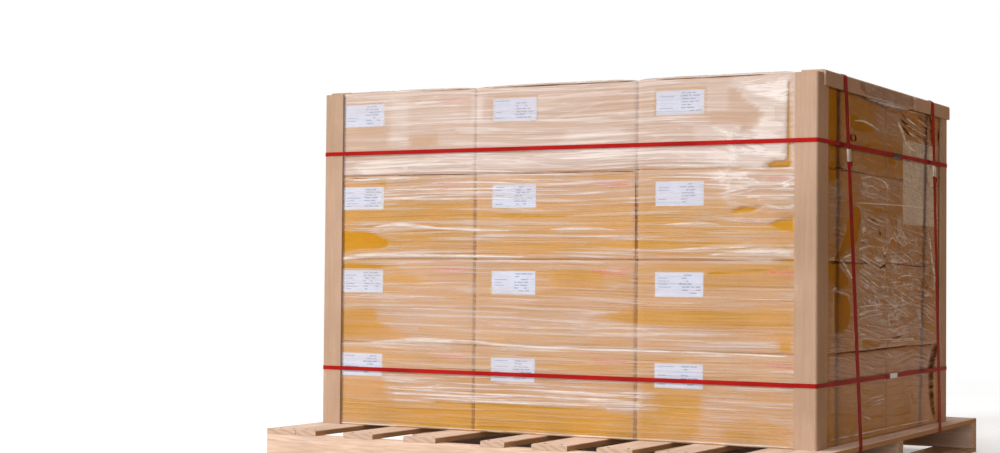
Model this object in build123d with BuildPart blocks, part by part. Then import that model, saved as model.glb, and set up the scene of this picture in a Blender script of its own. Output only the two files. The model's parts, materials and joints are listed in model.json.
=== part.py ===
from build123d import *
import math
import os

os.makedirs("parts", exist_ok=True)

# A wrapped and strapped load of cartons on a light timber pallet.
# Millimetres. X runs along the stringers, Y along the deck boards, +Z up.
# The origin is on the floor, under the middle of the pallet.

# Pallet timber
pallet_length = 1200.0
pallet_width = 1200.0
deck_board_thickness = 11.0
deck_board_widths = [74.0, 51.0, 73.0, 77.0, 55.0, 79.0, 76.0, 71.0, 61.0, 74.0]
deck_gaps_as_laid = [1.0, 70.0, 75.0, 105.0, 61.0, 64.0, 47.0, 85.0, 1.0]
stringer_height = 59.0
stringer_thickness = 34.0
bottom_board_thickness = 10.0
bottom_board_width = 96.0
sawn_edge = 1.2

# Cartons
carton_length = 377.5
carton_width = 438.8
carton_height = 181.7
carton_upright_bevel = 4.0
carton_fold_bevel = 2.5
carton_gap = 0.4
columns = 3
rows = 2
layers = 4
flap_seam_width = 3.0
flap_seam_depth = 1.5

# Where the load stands on the pallet
load_offset_x = -8.0
load_offset_y = 23.0

# Labels on the front cartons and the sheet of papers on the right side
label_length = 105.0
label_height = 49.5
label_thickness = 0.3
label_inset = 41.0
label_drop = 24.0
sheet_length = 250.0
sheet_height = 185.0
sheet_thickness = 0.4
sheet_from_back = 68.0
sheet_from_top = 93.0

# Stretch film
film_thickness = 0.8
film_clearance = 0.6

# Kraft angle boards at the four upright corners and along the top edges of the left and right sides
board_thickness = 5.0
board_outer_radius = 5.0
board_inner_radius = 1.5
corner_leg_narrow = 47.0
corner_leg_wide = 60.0
edge_leg_top = 50.0
edge_leg_hanging = 31.0
edge_board_start = 23.0
edge_board_long = 575.0
edge_board_short = 273.0
edge_board_joint = 15.0

# Straps and seals
strap_thickness = 0.8
level_strap_width = 8.5
level_strap_heights = [123.5, 596.0]
upright_strap_width = 19.0
upright_strap_tops = [-279.5, 328.0]
upright_strap_feet = [-265.0, 290.0]
deck_bend_radius = 1.5
seal_wall = 0.9
seal_slot_clearance = 0.2
upright_seal_length = 25.0
upright_seal_drop = 161.0
level_seal_length = 50.0
level_seal_offsets = [32.0, 53.0]

# Clearance between a piece and what it bears on
seat = 0.3

# Heights
deck_underside = bottom_board_thickness + stringer_height
deck_top = deck_underside + deck_board_thickness

# The block of cartons
block_length = columns * carton_length + (columns - 1) * carton_gap
block_width = rows * carton_width + (rows - 1) * carton_gap
block_height = layers * carton_height + (layers - 1) * carton_gap
block_left = load_offset_x - block_length / 2
block_right = load_offset_x + block_length / 2
block_front = load_offset_y - block_width / 2
block_back = load_offset_y + block_width / 2
block_top = deck_top + block_height

# The film's outer faces
film_reach = film_clearance + film_thickness
film_length = block_length + 2 * film_reach
film_width = block_width + 2 * film_reach
film_height = block_height + film_reach
film_top = deck_top + film_height

# The outer faces of the angle boards
corner_reach = film_reach + seat + board_thickness
edge_reach = corner_reach + seat + board_thickness
corner_board_height = film_height - board_inner_radius
edge_board_top = film_top + seat + board_thickness


# Pallet

def timber(name, length_x, width_y, height_z, centre_x, centre_y, bottom_z):
    """A sawn timber with its four long arrises eased."""
    along = Axis.X if length_x > width_y else Axis.Y
    with BuildPart() as piece:
        with BuildSketch(Plane.XY.offset(bottom_z)):
            with Locations((centre_x, centre_y)):
                Rectangle(length_x, width_y)
        extrude(amount=height_z)
        chamfer(piece.edges().filter_by(along), length=sawn_edge)
    piece.part.label = name
    export_step(piece.part, f"parts/{name}.step")
    return piece


stringer_reach = (pallet_width - stringer_thickness) / 2
for place, stringer_y in (("front", -stringer_reach), ("middle", 0.0), ("back", stringer_reach)):
    timber(f"stringer_{place}", pallet_length, stringer_thickness, stringer_height,
           0.0, stringer_y, bottom_board_thickness)

bottom_reach = (pallet_length - bottom_board_width) / 2
for place, board_x in (("left", -bottom_reach), ("middle", 0.0), ("right", bottom_reach)):
    timber(f"bottom_board_{place}", bottom_board_width, pallet_width, bottom_board_thickness,
           board_x, 0.0, 0.0)

# The boards keep their widths, and the gaps as laid share out the rest of the length.
free_length = pallet_length - sum(deck_board_widths)
gap_scale = free_length / sum(deck_gaps_as_laid)
board_left = -pallet_length / 2
for number, board_width in enumerate(deck_board_widths):
    timber(f"deck_board_{number + 1:02d}", board_width, pallet_width, deck_board_thickness,
           board_left + board_width / 2, 0.0, deck_underside)
    if number < len(deck_gaps_as_laid):
        board_left += board_width + deck_gaps_as_laid[number] * gap_scale


# Cartons

def carton(name, left_x, front_y, bottom_z):
    """A closed carton with blunted edges and the seams of its top and bottom flaps."""
    centre_x = left_x + carton_length / 2
    centre_y = front_y + carton_width / 2
    with BuildPart() as box:
        with BuildSketch(Plane.XY.offset(bottom_z)):
            with Locations((centre_x, centre_y)):
                Rectangle(carton_length, carton_width)
        extrude(amount=carton_height)
        chamfer(box.edges().filter_by(Axis.Z), length=carton_upright_bevel)
        folds = box.faces().filter_by(Axis.Z).edges()
        chamfer(folds, length=carton_fold_bevel)
        for seam_bottom in (bottom_z, bottom_z + carton_height - flap_seam_depth):
            with BuildSketch(Plane.XY.offset(seam_bottom)):
                with Locations((centre_x, centre_y)):
                    Rectangle(carton_length, flap_seam_width)
            extrude(amount=flap_seam_depth, mode=Mode.SUBTRACT)
    box.part.label = name
    export_step(box.part, f"parts/{name}.step")
    return box


for layer in range(layers):
    for row in range(rows):
        for column in range(columns):
            carton(f"carton_layer{layer + 1}_{'front' if row == 0 else 'back'}_{column + 1}",
                   block_left + column * (carton_length + carton_gap),
                   block_front + row * (carton_width + carton_gap),
                   deck_top + layer * (carton_height + carton_gap))


# Labels and sheet

front_face = Plane(origin=(0, block_front, 0), x_dir=(1, 0, 0), z_dir=(0, -1, 0))
label_places = [
    (block_left + column * (carton_length + carton_gap) + label_inset + label_length / 2,
     deck_top + layer * (carton_height + carton_gap) + carton_height - label_drop - label_height / 2)
    for layer in range(layers) for column in range(columns)
]
with BuildPart() as carton_labels:
    with BuildSketch(front_face):
        with Locations(*label_places):
            Rectangle(label_length, label_height)
    extrude(amount=label_thickness)
carton_labels.part.label = "carton_labels"
export_step(carton_labels.part, "parts/carton_labels.step")

right_face = Plane(origin=(block_right, 0, 0), x_dir=(0, 1, 0), z_dir=(1, 0, 0))
with BuildPart() as packing_sheet:
    with BuildSketch(right_face):
        with Locations((block_back - sheet_from_back - sheet_length / 2,
                        block_top - sheet_from_top - sheet_height / 2)):
            Rectangle(sheet_length, sheet_height)
    extrude(amount=sheet_thickness)
packing_sheet.part.label = "packing_sheet"
export_step(packing_sheet.part, "parts/packing_sheet.step")


# Stretch film

# A skin over the top and the four sides, open underneath.
with BuildPart() as stretch_film:
    for reach, mode in ((film_reach, Mode.ADD), (film_clearance, Mode.SUBTRACT)):
        with BuildSketch(Plane.XY.offset(deck_top)):
            with Locations((load_offset_x, load_offset_y)):
                RectangleRounded(block_length + 2 * reach, block_width + 2 * reach,
                                 carton_upright_bevel + reach)
        extrude(amount=block_height + reach, mode=mode)
stretch_film.part.label = "stretch_film"
export_step(stretch_film.part, "parts/stretch_film.step")


# Angle boards

def corner_board(name, side_x, side_y, leg_x, leg_y):
    """An upright angle board, its outer corner towards side_x and side_y."""
    corner_x = load_offset_x + side_x * (block_length / 2 + corner_reach)
    corner_y = load_offset_y + side_y * (block_width / 2 + corner_reach)
    in_x, in_y = -side_x, -side_y
    outline = [
        (corner_x, corner_y),
        (corner_x + in_x * leg_x, corner_y),
        (corner_x + in_x * leg_x, corner_y + in_y * board_thickness),
        (corner_x + in_x * board_thickness, corner_y + in_y * board_thickness),
        (corner_x + in_x * board_thickness, corner_y + in_y * leg_y),
        (corner_x, corner_y + in_y * leg_y),
    ]
    with BuildPart() as board:
        with BuildSketch(Plane.XY.offset(deck_top)) as angle:
            with BuildLine():
                Polyline(*outline, close=True)
            make_face()
            corners = angle.vertices().sort_by_distance((corner_x, corner_y))
            fillet(corners[0], radius=board_outer_radius)
            inner = angle.vertices().sort_by_distance(outline[3])
            fillet(inner[0], radius=board_inner_radius)
        extrude(amount=corner_board_height)
    board.part.label = name
    export_step(board.part, f"parts/{name}.step")
    return board


# The front boards turn their narrow legs to the front and the back boards to the sides.
for place_y, side_y, leg_x, leg_y in (("front", -1, corner_leg_narrow, corner_leg_wide),
                                      ("back", 1, corner_leg_wide, corner_leg_narrow)):
    for place_x, side_x in (("left", -1), ("right", 1)):
        corner_board(f"corner_board_{place_y}_{place_x}", side_x, side_y, leg_x, leg_y)


def edge_board(name, side_x, start_y, length):
    """A top edge board: one leg flat on the load, the other hanging down its side."""
    edge_x = load_offset_x + side_x * (block_length / 2 + edge_reach)
    in_x = -side_x
    outline = [
        (edge_x, edge_board_top),
        (edge_x + in_x * edge_leg_top, edge_board_top),
        (edge_x + in_x * edge_leg_top, edge_board_top - board_thickness),
        (edge_x + in_x * board_thickness, edge_board_top - board_thickness),
        (edge_x + in_x * board_thickness, edge_board_top - edge_leg_hanging),
        (edge_x, edge_board_top - edge_leg_hanging),
    ]
    end_plane = Plane(origin=(0, start_y + length, 0), x_dir=(1, 0, 0), z_dir=(0, -1, 0))
    with BuildPart() as board:
        with BuildSketch(end_plane) as angle:
            with BuildLine():
                Polyline(*outline, close=True)
            make_face()
            inner = angle.vertices().sort_by_distance(outline[3])
            fillet(inner[0], radius=board_inner_radius)
            corners = angle.vertices().sort_by_distance(outline[0])
            fillet(corners[0], radius=board_outer_radius)
        extrude(amount=length)
    board.part.label = name
    export_step(board.part, f"parts/{name}.step")
    return board


edge_start = block_front + edge_board_start
for place_x, side_x in (("left", -1), ("right", 1)):
    edge_board(f"top_edge_board_long_{place_x}", side_x, edge_start, edge_board_long)
    edge_board(f"top_edge_board_short_{place_x}", side_x,
               edge_start + edge_board_long + edge_board_joint, edge_board_short)


# Level straps

# Each runs round the four corner boards, drawn tight between them.
level_radius = board_outer_radius + seat
level_half_x = block_length / 2 + corner_reach + seat
level_half_y = block_width / 2 + corner_reach + seat
for place, strap_height in zip(("lower", "upper"), level_strap_heights):
    with BuildPart() as level_strap:
        strap_bottom = deck_top + strap_height - level_strap_width / 2
        for grow, mode in ((strap_thickness, Mode.ADD), (0.0, Mode.SUBTRACT)):
            with BuildSketch(Plane.XY.offset(strap_bottom)):
                with Locations((load_offset_x, load_offset_y)):
                    RectangleRounded(2 * (level_half_x + grow), 2 * (level_half_y + grow),
                                     level_radius + grow)
            extrude(amount=level_strap_width, mode=mode)
    level_strap.part.label = f"level_strap_{place}"
    export_step(level_strap.part, f"parts/level_strap_{place}.step")


def seal(name, plane, strap_width, length):
    """A crimped sleeve round a strap that runs along the plane's normal."""
    slot_width = strap_width + 2 * seal_slot_clearance
    slot_depth = strap_thickness + 2 * seal_slot_clearance
    with BuildPart() as sleeve:
        with BuildSketch(plane):
            RectangleRounded(slot_width + 2 * seal_wall, slot_depth + 2 * seal_wall, seal_wall)
            Rectangle(slot_width, slot_depth, mode=Mode.SUBTRACT)
        extrude(amount=length / 2, both=True)
    sleeve.part.label = name
    export_step(sleeve.part, f"parts/{name}.step")
    return sleeve


for place, strap_height, seal_offset in zip(("lower", "upper"), level_strap_heights,
                                            level_seal_offsets):
    seal(f"level_seal_{place}",
         Plane(origin=(load_offset_x + level_half_x + strap_thickness / 2,
                       load_offset_y + seal_offset,
                       deck_top + strap_height),
               x_dir=(0, 0, 1), z_dir=(0, 1, 0)),
         level_strap_width, level_seal_length)


# Upright straps

# Each is one taut loop: over both top edge boards, out to the ends of the deck,
# round the end deck boards and back under the deck through a fork tunnel.
# The loop leans a little along Y, so it is drawn in its own leaning plane.

def upright_strap(name, top_y, foot_y):
    rise = edge_board_top - deck_underside
    slope = math.hypot(rise, top_y - foot_y)
    lean_y = (top_y - foot_y) / slope
    lean_z = rise / slope
    edge_lift = seat + upright_strap_width / 2 * abs(lean_y) / lean_z
    loop_plane = Plane(origin=(0, foot_y, deck_underside), x_dir=(1, 0, 0),
                       z_dir=(0, -lean_z, lean_y))

    top_v = (rise + edge_lift) / lean_z
    foot_v = -edge_lift / lean_z
    deck_v = (deck_board_thickness + seat) / lean_z
    top_reach = block_length / 2 + edge_reach + seat
    left_top, right_top = load_offset_x - top_reach, load_offset_x + top_reach
    # A load that overhangs the deck holds the strap out past the deck's end.
    load_reach = level_half_x + strap_thickness + seat
    left_end = min(-pallet_length / 2 - seat, load_offset_x - load_reach)
    right_end = max(pallet_length / 2 + seat, load_offset_x + load_reach)

    with BuildPart() as strap:
        for grow, mode in ((strap_thickness, Mode.ADD), (0.0, Mode.SUBTRACT)):
            corners = [
                (left_top - grow, top_v + grow), (right_top + grow, top_v + grow),
                (right_end + grow, deck_v), (right_end + grow, foot_v - grow),
                (left_end - grow, foot_v - grow), (left_end - grow, deck_v),
            ]
            with BuildSketch(loop_plane.offset(-upright_strap_width / 2)) as loop:
                with BuildLine():
                    Polyline(*corners, close=True)
                make_face()
                heights = loop.vertices().group_by(Axis.Y)
                fillet(heights[-1], radius=board_outer_radius + seat + grow)
                heights = loop.vertices().group_by(Axis.Y)
                fillet(heights[0], radius=deck_bend_radius + grow)
            extrude(amount=upright_strap_width, mode=mode)
    strap.part.label = name
    export_step(strap.part, f"parts/{name}.step")

    # The seal sits on the right run, a little below the top edge board.
    run = Vector(right_end - right_top, deck_v - top_v, 0)
    along = run.normalized()
    outward = Vector(-along.Y, along.X, 0)
    centre = (Vector(right_top, top_v, 0) + along * upright_seal_drop
              + outward * (strap_thickness / 2))
    seal(name.replace("strap", "seal"),
         Plane(origin=loop_plane.from_local_coords(centre),
               x_dir=loop_plane.z_dir,
               z_dir=loop_plane.from_local_coords(along) - loop_plane.origin),
         upright_strap_width, upright_seal_length)
    return strap


for place, top_y, foot_y in zip(("near", "far"), upright_strap_tops, upright_strap_feet):
    upright_strap(f"upright_strap_{place}", top_y, foot_y)

print("load", round(film_length), round(film_width), round(film_height),
      "top", round(edge_board_top, 1), "deck", deck_top)
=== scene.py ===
"""Looks of a wrapped and strapped load of cartons on a timber pallet, built round its CAD frame."""
import json
import math

import bpy
import numpy as np
from mathutils.bvhtree import BVHTree
from mathutils import Matrix, Vector


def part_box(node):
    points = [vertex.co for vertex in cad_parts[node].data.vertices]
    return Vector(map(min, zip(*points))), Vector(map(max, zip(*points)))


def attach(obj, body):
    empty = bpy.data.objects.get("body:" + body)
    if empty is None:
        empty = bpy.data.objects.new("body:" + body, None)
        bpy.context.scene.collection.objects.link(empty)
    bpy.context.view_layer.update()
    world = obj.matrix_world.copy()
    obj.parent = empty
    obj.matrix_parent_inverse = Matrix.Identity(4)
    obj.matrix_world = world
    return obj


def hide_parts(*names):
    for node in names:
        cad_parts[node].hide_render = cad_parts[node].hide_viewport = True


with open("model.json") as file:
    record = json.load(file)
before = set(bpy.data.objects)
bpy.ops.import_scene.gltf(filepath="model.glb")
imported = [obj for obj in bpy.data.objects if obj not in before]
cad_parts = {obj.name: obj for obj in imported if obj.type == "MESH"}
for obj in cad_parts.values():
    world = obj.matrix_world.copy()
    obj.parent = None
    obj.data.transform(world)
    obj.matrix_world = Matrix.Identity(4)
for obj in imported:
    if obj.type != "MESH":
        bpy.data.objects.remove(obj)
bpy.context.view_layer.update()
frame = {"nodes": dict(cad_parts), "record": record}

# A millimetre in metres, and a metre in millimetres
MM = 0.001
METRE = 1000

# Places read from the CAD boxes, in metres
film_low, film_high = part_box("stretch_film")
first_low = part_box("carton_layer1_front_1")[0]
next_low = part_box("carton_layer1_front_2")[0]
above_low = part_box("carton_layer2_front_1")[0]
row_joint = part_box("carton_layer1_back_1")[0].y
column_pitch = next_low.x - first_low.x
layer_pitch = above_low.z - first_low.z
columns, layers = 3, 4
column_joints = [next_low.x + n * column_pitch for n in range(columns - 1)]
layer_joints = [above_low.z + n * layer_pitch for n in range(layers - 1)]


# Camera

# Solved from the load's and the pallet's corners in the photograph
IMAGE_WIDTH = 1000
FOCAL_PIXELS = 1827.2
SENSOR_WIDTH = 36.0
CAMERA_PLACE = Vector((1.7541, -3.7680, 0.4095))
CAMERA_YAW = math.radians(29.425)
CAMERA_PITCH = math.radians(1.546)
CAMERA_ROLL = math.radians(0.499)


def make_camera():
    """The photograph's own camera."""
    forward = Vector((-math.sin(CAMERA_YAW) * math.cos(CAMERA_PITCH),
                      math.cos(CAMERA_YAW) * math.cos(CAMERA_PITCH),
                      math.sin(CAMERA_PITCH)))
    level_right = forward.cross(Vector((0, 0, 1))).normalized()
    level_up = level_right.cross(forward)
    right = level_right * math.cos(CAMERA_ROLL) + level_up * math.sin(CAMERA_ROLL)
    up = level_up * math.cos(CAMERA_ROLL) - level_right * math.sin(CAMERA_ROLL)
    data = bpy.data.cameras.new("camera")
    data.sensor_width = SENSOR_WIDTH
    data.sensor_fit = "HORIZONTAL"
    data.lens = SENSOR_WIDTH * FOCAL_PIXELS / IMAGE_WIDTH
    data.clip_start = 0.05
    data.clip_end = 200
    camera = bpy.data.objects.new("camera", data)
    bpy.context.scene.collection.objects.link(camera)
    turn = Matrix((right, up, -forward)).transposed().to_4x4()
    camera.matrix_world = Matrix.Translation(CAMERA_PLACE) @ turn
    bpy.context.scene.camera = camera


# Node helpers

class Value:
    """A node's output. Sums, differences and products of values add Math nodes."""

    def __init__(self, socket):
        self.socket = socket
        self.tree = socket.id_data

    def __add__(self, other):
        return calc("ADD", self, other)

    def __sub__(self, other):
        return calc("SUBTRACT", self, other)

    def __rsub__(self, other):
        return calc("SUBTRACT", other, self)

    def __mul__(self, other):
        return calc("MULTIPLY", self, other)

    def __abs__(self):
        return calc("ABSOLUTE", self)


def feed(socket, value):
    """Links a value to a socket, or sets a plain number, place or colour there."""
    if isinstance(value, Value):
        value.tree.links.new(value.socket, socket)
    elif socket.type == "RGBA":
        socket.default_value = (*value, 1.0)[:4]
    else:
        socket.default_value = value


def put(tree, kind, *values, settings=None, output=0, **inputs):
    """One output of a new node. Values feed its first sockets, inputs the sockets of their names."""
    node = tree.nodes.new("ShaderNode" + kind)
    for name, setting in (settings or {}).items():
        setattr(node, name, setting)
    for socket, value in zip(node.inputs, values):
        feed(socket, value)
    for name, value in inputs.items():
        feed(node.inputs[name.replace("_", " ")], value)
    return Value(node.outputs[output])


def tree_of(*values):
    return next(value.tree for value in values if isinstance(value, Value))


def calc(operation, a, b=0.0, clamp=False):
    """One Math node on values or plain numbers."""
    return put(tree_of(a, b), "Math", a, b, settings={"operation": operation, "use_clamp": clamp})


def blend(factor, a, b, mode="MIX"):
    """Mixes two colours."""
    node = tree_of(factor, a, b).nodes.new("ShaderNodeMix")
    node.data_type = "RGBA"
    node.blend_type = mode
    for index, value in ((0, factor), (6, a), (7, b)):
        feed(node.inputs[index], value)
    return Value(node.outputs[2])


def ramp(factor, *stops):
    """A smooth ramp over grey or colour stops."""
    node = factor.tree.nodes.new("ShaderNodeValToRGB")
    node.color_ramp.interpolation = "EASE"
    elements = node.color_ramp.elements
    while len(elements) < len(stops):
        elements.new(0.5)
    for element, (place, value) in zip(elements, stops):
        colour = (value, value, value) if isinstance(value, (int, float)) else value
        element.position = place
        element.color = (*colour, 1.0)
    feed(node.inputs[0], factor)
    return Value(node.outputs[0])


def eased(value, low, high):
    """0 below low, 1 above high and smooth between them."""
    return put(value.tree, "MapRange", settings={"interpolation_type": "SMOOTHSTEP"}, Value=value,
               From_Min=low, From_Max=high)


def scaled(place, scale, turn=(0, 0, 0), shift=(0, 0, 0)):
    return put(place.tree, "Mapping", Vector=place, Scale=scale, Rotation=turn, Location=shift)


def stretched(place, axis, share):
    """Places for a pattern that is drawn out along one axis."""
    return scaled(place, [share if n == axis else 1.0 for n in range(3)])


def noise(place, scale, detail=3.0, roughness=0.5, distortion=0.0):
    return put(place.tree, "TexNoise", Vector=place, Scale=scale, Detail=detail,
               Roughness=roughness, Distortion=distortion)


def cells(place, scale, randomness=1.0, output="Distance"):
    return put(place.tree, "TexVoronoi", output=output, Vector=place, Scale=scale, Randomness=randomness)


def bump(height, strength, distance):
    return put(height.tree, "Bump", Height=height, Strength=strength, Distance=distance)


def contour(value, half_width):
    """Thin lines along the middle value of a noise."""
    return ramp(abs(value - 0.5), (0.0, 1.0), (half_width, 0.0))


def tinted(colour, share, lift=0.0):
    """A plain colour made darker or brighter."""
    return [min(1.0, part * share + lift) for part in colour]


def new_tree(name):
    material = bpy.data.materials.new(name)
    material.use_nodes = True
    material.node_tree.nodes.clear()
    return material, material.node_tree


def show(shader, kind="OutputMaterial"):
    """Makes a shader what its tree shows."""
    feed(shader.tree.nodes.new("ShaderNode" + kind).inputs[0], shader)


def surface(tree, colour, roughness, **values):
    show(put(tree, "BsdfPrincipled", Base_Color=colour, Roughness=roughness, **values))


def object_place(tree, spread=0.0):
    """Object coordinates, moved by a random distance for each object."""
    place = put(tree, "TexCoord", output="Object")
    if spread == 0:
        return place
    step = put(tree, "ObjectInfo", output="Random") * spread
    return put(tree, "VectorMath", place, step, settings={"operation": "ADD"})


def painted(tree, name):
    """A value that the mesh holds at each of its points."""
    return put(tree, "Attribute", settings={"attribute_name": name}, output="Fac")


def of_rays(tree, *kinds):
    """1 for rays of any of these kinds, and 0 for all others."""
    share = put(tree, "LightPath", output=f"Is {kinds[0]} Ray")
    for kind in kinds[1:]:
        share = calc("MAXIMUM", share, put(tree, "LightPath", output=f"Is {kind} Ray"))
    return share


# Materials

WHITE = (1.0, 1.0, 1.0)
WOOD_PALE = (0.80, 0.61, 0.50)
WOOD_MID = (0.70, 0.50, 0.38)
WOOD_DARK = (0.50, 0.31, 0.20)
WOOD_DULL = (0.45, 0.29, 0.19)
WOOD_DULL_DARK = (0.30, 0.18, 0.11)
# Painted shade for the deck boards' sides
SIDE_SHADE_BROWN = (0.42, 0.22, 0.08)
ZINC_DARK = (0.62, 0.64, 0.66)
ZINC_LIGHT = (0.86, 0.87, 0.88)
HAZE_COLOUR = (0.80, 0.685, 0.64)
# Milky film, also used as a painted highlight on streaks and creases
MILK_AND_HIGHLIGHT_COLOUR = (0.87, 0.80, 0.765)
# Painted highlight along the film's pleats
PLEAT_HIGHLIGHT_COLOUR = (0.97, 0.92, 0.87)
GLOSS_COLOUR = (0.8, 0.8, 0.82)
CLEAR_TINT = (0.99, 0.975, 0.95)
CLING_TINT = (0.97, 0.87, 0.05)
# Painted shade in the film's dark folds, gaps and valleys
VALLEY_SHADE_TINT = (0.34, 0.18, 0.08)
CLING_EDGE = 4.2 * MM
CLING_WAVER = 5 * MM


def timber_material(name, pale, mid, dark, along, side_shade):
    """Sawn softwood. along is 0 where the grain runs along X and 1 along Y. The last argument sets how much
    painted shade browns the sides across the grain.
    """
    material, tree = new_tree(name)
    place = object_place(tree, 7.0)
    grain = stretched(place, along, 0.045)
    warp = noise(scaled(grain, (3, 3, 3)), 3.0, 2.0)
    rings = noise(grain, 60.0, 5.0, 0.6, 0.6)
    fibres = noise(grain, 420.0, 3.0, 0.6)
    blotches = noise(place, 5.0)
    colour = ramp(rings * 0.8 + warp * 0.25, (0.36, pale), (0.52, mid), (0.62, pale), (0.74, dark))
    colour = blend(0.75, colour, ramp(fibres, (0.3, 0.80), (0.7, 1.08)), "MULTIPLY")
    colour = blend(0.8, colour, ramp(blotches, (0.3, 0.86), (0.7, 1.06)), "MULTIPLY")

    # A few small knots
    knots = ramp(cells(stretched(place, along, 0.45), 9.0), (0.0, 1.0), (0.05, 0.8), (0.09, 0.0))
    knots = knots * ramp(blotches, (0.60, 0.0), (0.66, 1.0))
    colour = blend(knots, colour, tinted(dark, 0.42))

    # End grain is darker and shows the rings as arcs.
    normal = put(tree, "NewGeometry", output="Normal")
    at_end = ramp(abs(put(tree, "SeparateXYZ", normal, output=along)), (0.8, 0.0), (0.95, 1.0))
    arcs = put(tree, "TexWave", settings={"wave_type": "RINGS", "rings_direction": "SPHERICAL"},
               Vector=scaled(place, (1.0, 1.0, 1.6), shift=(0.3, 0.3, 0.4)),
               Scale=22.0, Distortion=3.0, Detail=2.0)
    colour = blend(at_end, colour, ramp(arcs, (0.2, tinted(mid, 0.88)), (0.8, tinted(mid, 0.72))))

    # The deck boards' sides across the grain are browner: painted shade, as on sides that face away from the
    # light.
    shaded_side = abs(put(tree, "SeparateXYZ", normal, output=1 - along))
    colour = blend(ramp(shaded_side, (0.8, 0.0), (0.95, side_shade)), colour, SIDE_SHADE_BROWN)

    surface(tree, colour, ramp(fibres, (0.3, 0.62), (0.7, 0.85)),
            Normal=bump(fibres * 0.5 + rings, 0.55, 0.0009), Specular_IOR_Level=0.3)
    return material


def carton_material():
    """Brown corrugated board."""
    material, tree = new_tree("carton_board")
    place = object_place(tree, 3.0)
    mottle = noise(place, 7.0, 4.0, 0.55)
    fibre = noise(scaled(place, (1, 1, 2.5)), 260.0, 3.0, 0.6)
    colour = ramp(mottle, (0.3, (0.59, 0.345, 0.145)), (0.7, (0.655, 0.39, 0.18)))
    colour = blend(0.5, colour, ramp(fibre, (0.3, 0.84), (0.7, 1.1)), "MULTIPLY")
    flutes = put(tree, "TexWave", settings={"bands_direction": "DIAGONAL"},
                 Vector=scaled(object_place(tree), (1, 1, 0)), Scale=75.0, Distortion=0.3)
    surface(tree, colour, 0.62, Normal=bump(flutes * 0.35 + fibre * 0.4, 0.25, 0.0006),
            Specular_IOR_Level=0.35)
    return material


def paper_material(name, colour, wrinkle):
    material, tree = new_tree(name)
    place = object_place(tree)
    shade = ramp(noise(place, 30.0), (0.3, tinted(colour, 0.94)), (0.7, colour))
    creases = noise(place, 38.0, 4.0, 0.55, 0.8)
    surface(tree, shade, 0.55, Normal=bump(creases, wrinkle, 0.004), Specular_IOR_Level=0.4)
    return material


def ink_material(name, colour):
    material, tree = new_tree(name)
    fleck = noise(object_place(tree), 700.0, 2.0)
    surface(tree, ramp(fleck, (0.35, colour), (0.7, tinted(colour, 1.5, 0.06))), 0.6)
    return material


def angle_board_material():
    """Laminated kraft board, dragged along its length and scuffed."""
    material, tree = new_tree("angle_board")
    place = object_place(tree, 2.0)
    cloud = noise(place, 4.0, 4.0, 0.55)
    drag = noise(stretched(place, 2, 0.06), 150.0, 3.0, 0.55)
    fibre = noise(place, 480.0, 3.0, 0.65)
    scuff = noise(stretched(place, 2, 0.35), 55.0, 4.0, 0.7)
    colour = ramp(cloud, (0.3, (0.43, 0.285, 0.195)), (0.7, (0.52, 0.355, 0.26)))
    colour = blend(0.5, colour, ramp(drag, (0.3, 0.88), (0.7, 1.08)), "MULTIPLY")
    colour = blend(0.6, colour, ramp(fibre, (0.3, 0.86), (0.7, 1.1)), "MULTIPLY")
    colour = blend(ramp(scuff, (0.63, 0.0), (0.72, 0.45)), colour, (0.61, 0.46, 0.36))
    surface(tree, colour, 0.72, Normal=bump(drag * 0.7 + fibre * 0.4, 0.35, 0.0006),
            Specular_IOR_Level=0.25)
    return material


def strap_material(name, colour, along):
    """Smooth polyester strapping with a fine embossed grid."""
    material, tree = new_tree(name)
    place = object_place(tree)
    shade = ramp(noise(place, 12.0), (0.3, tinted(colour, 0.82)), (0.7, tinted(colour, 1.12)))
    emboss = cells(place, 520.0, 0.0)
    scratches = noise(stretched(place, along, 0.03), 900.0, 2.0)
    surface(tree, shade, ramp(scratches, (0.3, 0.34), (0.7, 0.50)),
            Normal=bump(emboss + scratches * 0.6, 0.3, 0.0004), Specular_IOR_Level=0.08)
    return material


def seal_material(name, dull):
    material, tree = new_tree(name)
    tone = noise(object_place(tree), 160.0)
    colour = ramp(tone, (0.3, tinted(ZINC_DARK, dull)), (0.7, tinted(ZINC_LIGHT, dull)))
    surface(tree, colour, ramp(tone, (0.3, 0.28), (0.7, 0.48)), Normal=bump(tone, 0.3, 0.0005),
            Metallic=0.85)
    return material


def nail_material():
    material, tree = new_tree("nail_head")
    tone = noise(object_place(tree), 500.0)
    surface(tree, ramp(tone, (0.35, (0.22, 0.20, 0.19)), (0.7, (0.42, 0.40, 0.38))), 0.5, Metallic=0.7)
    return material


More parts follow.
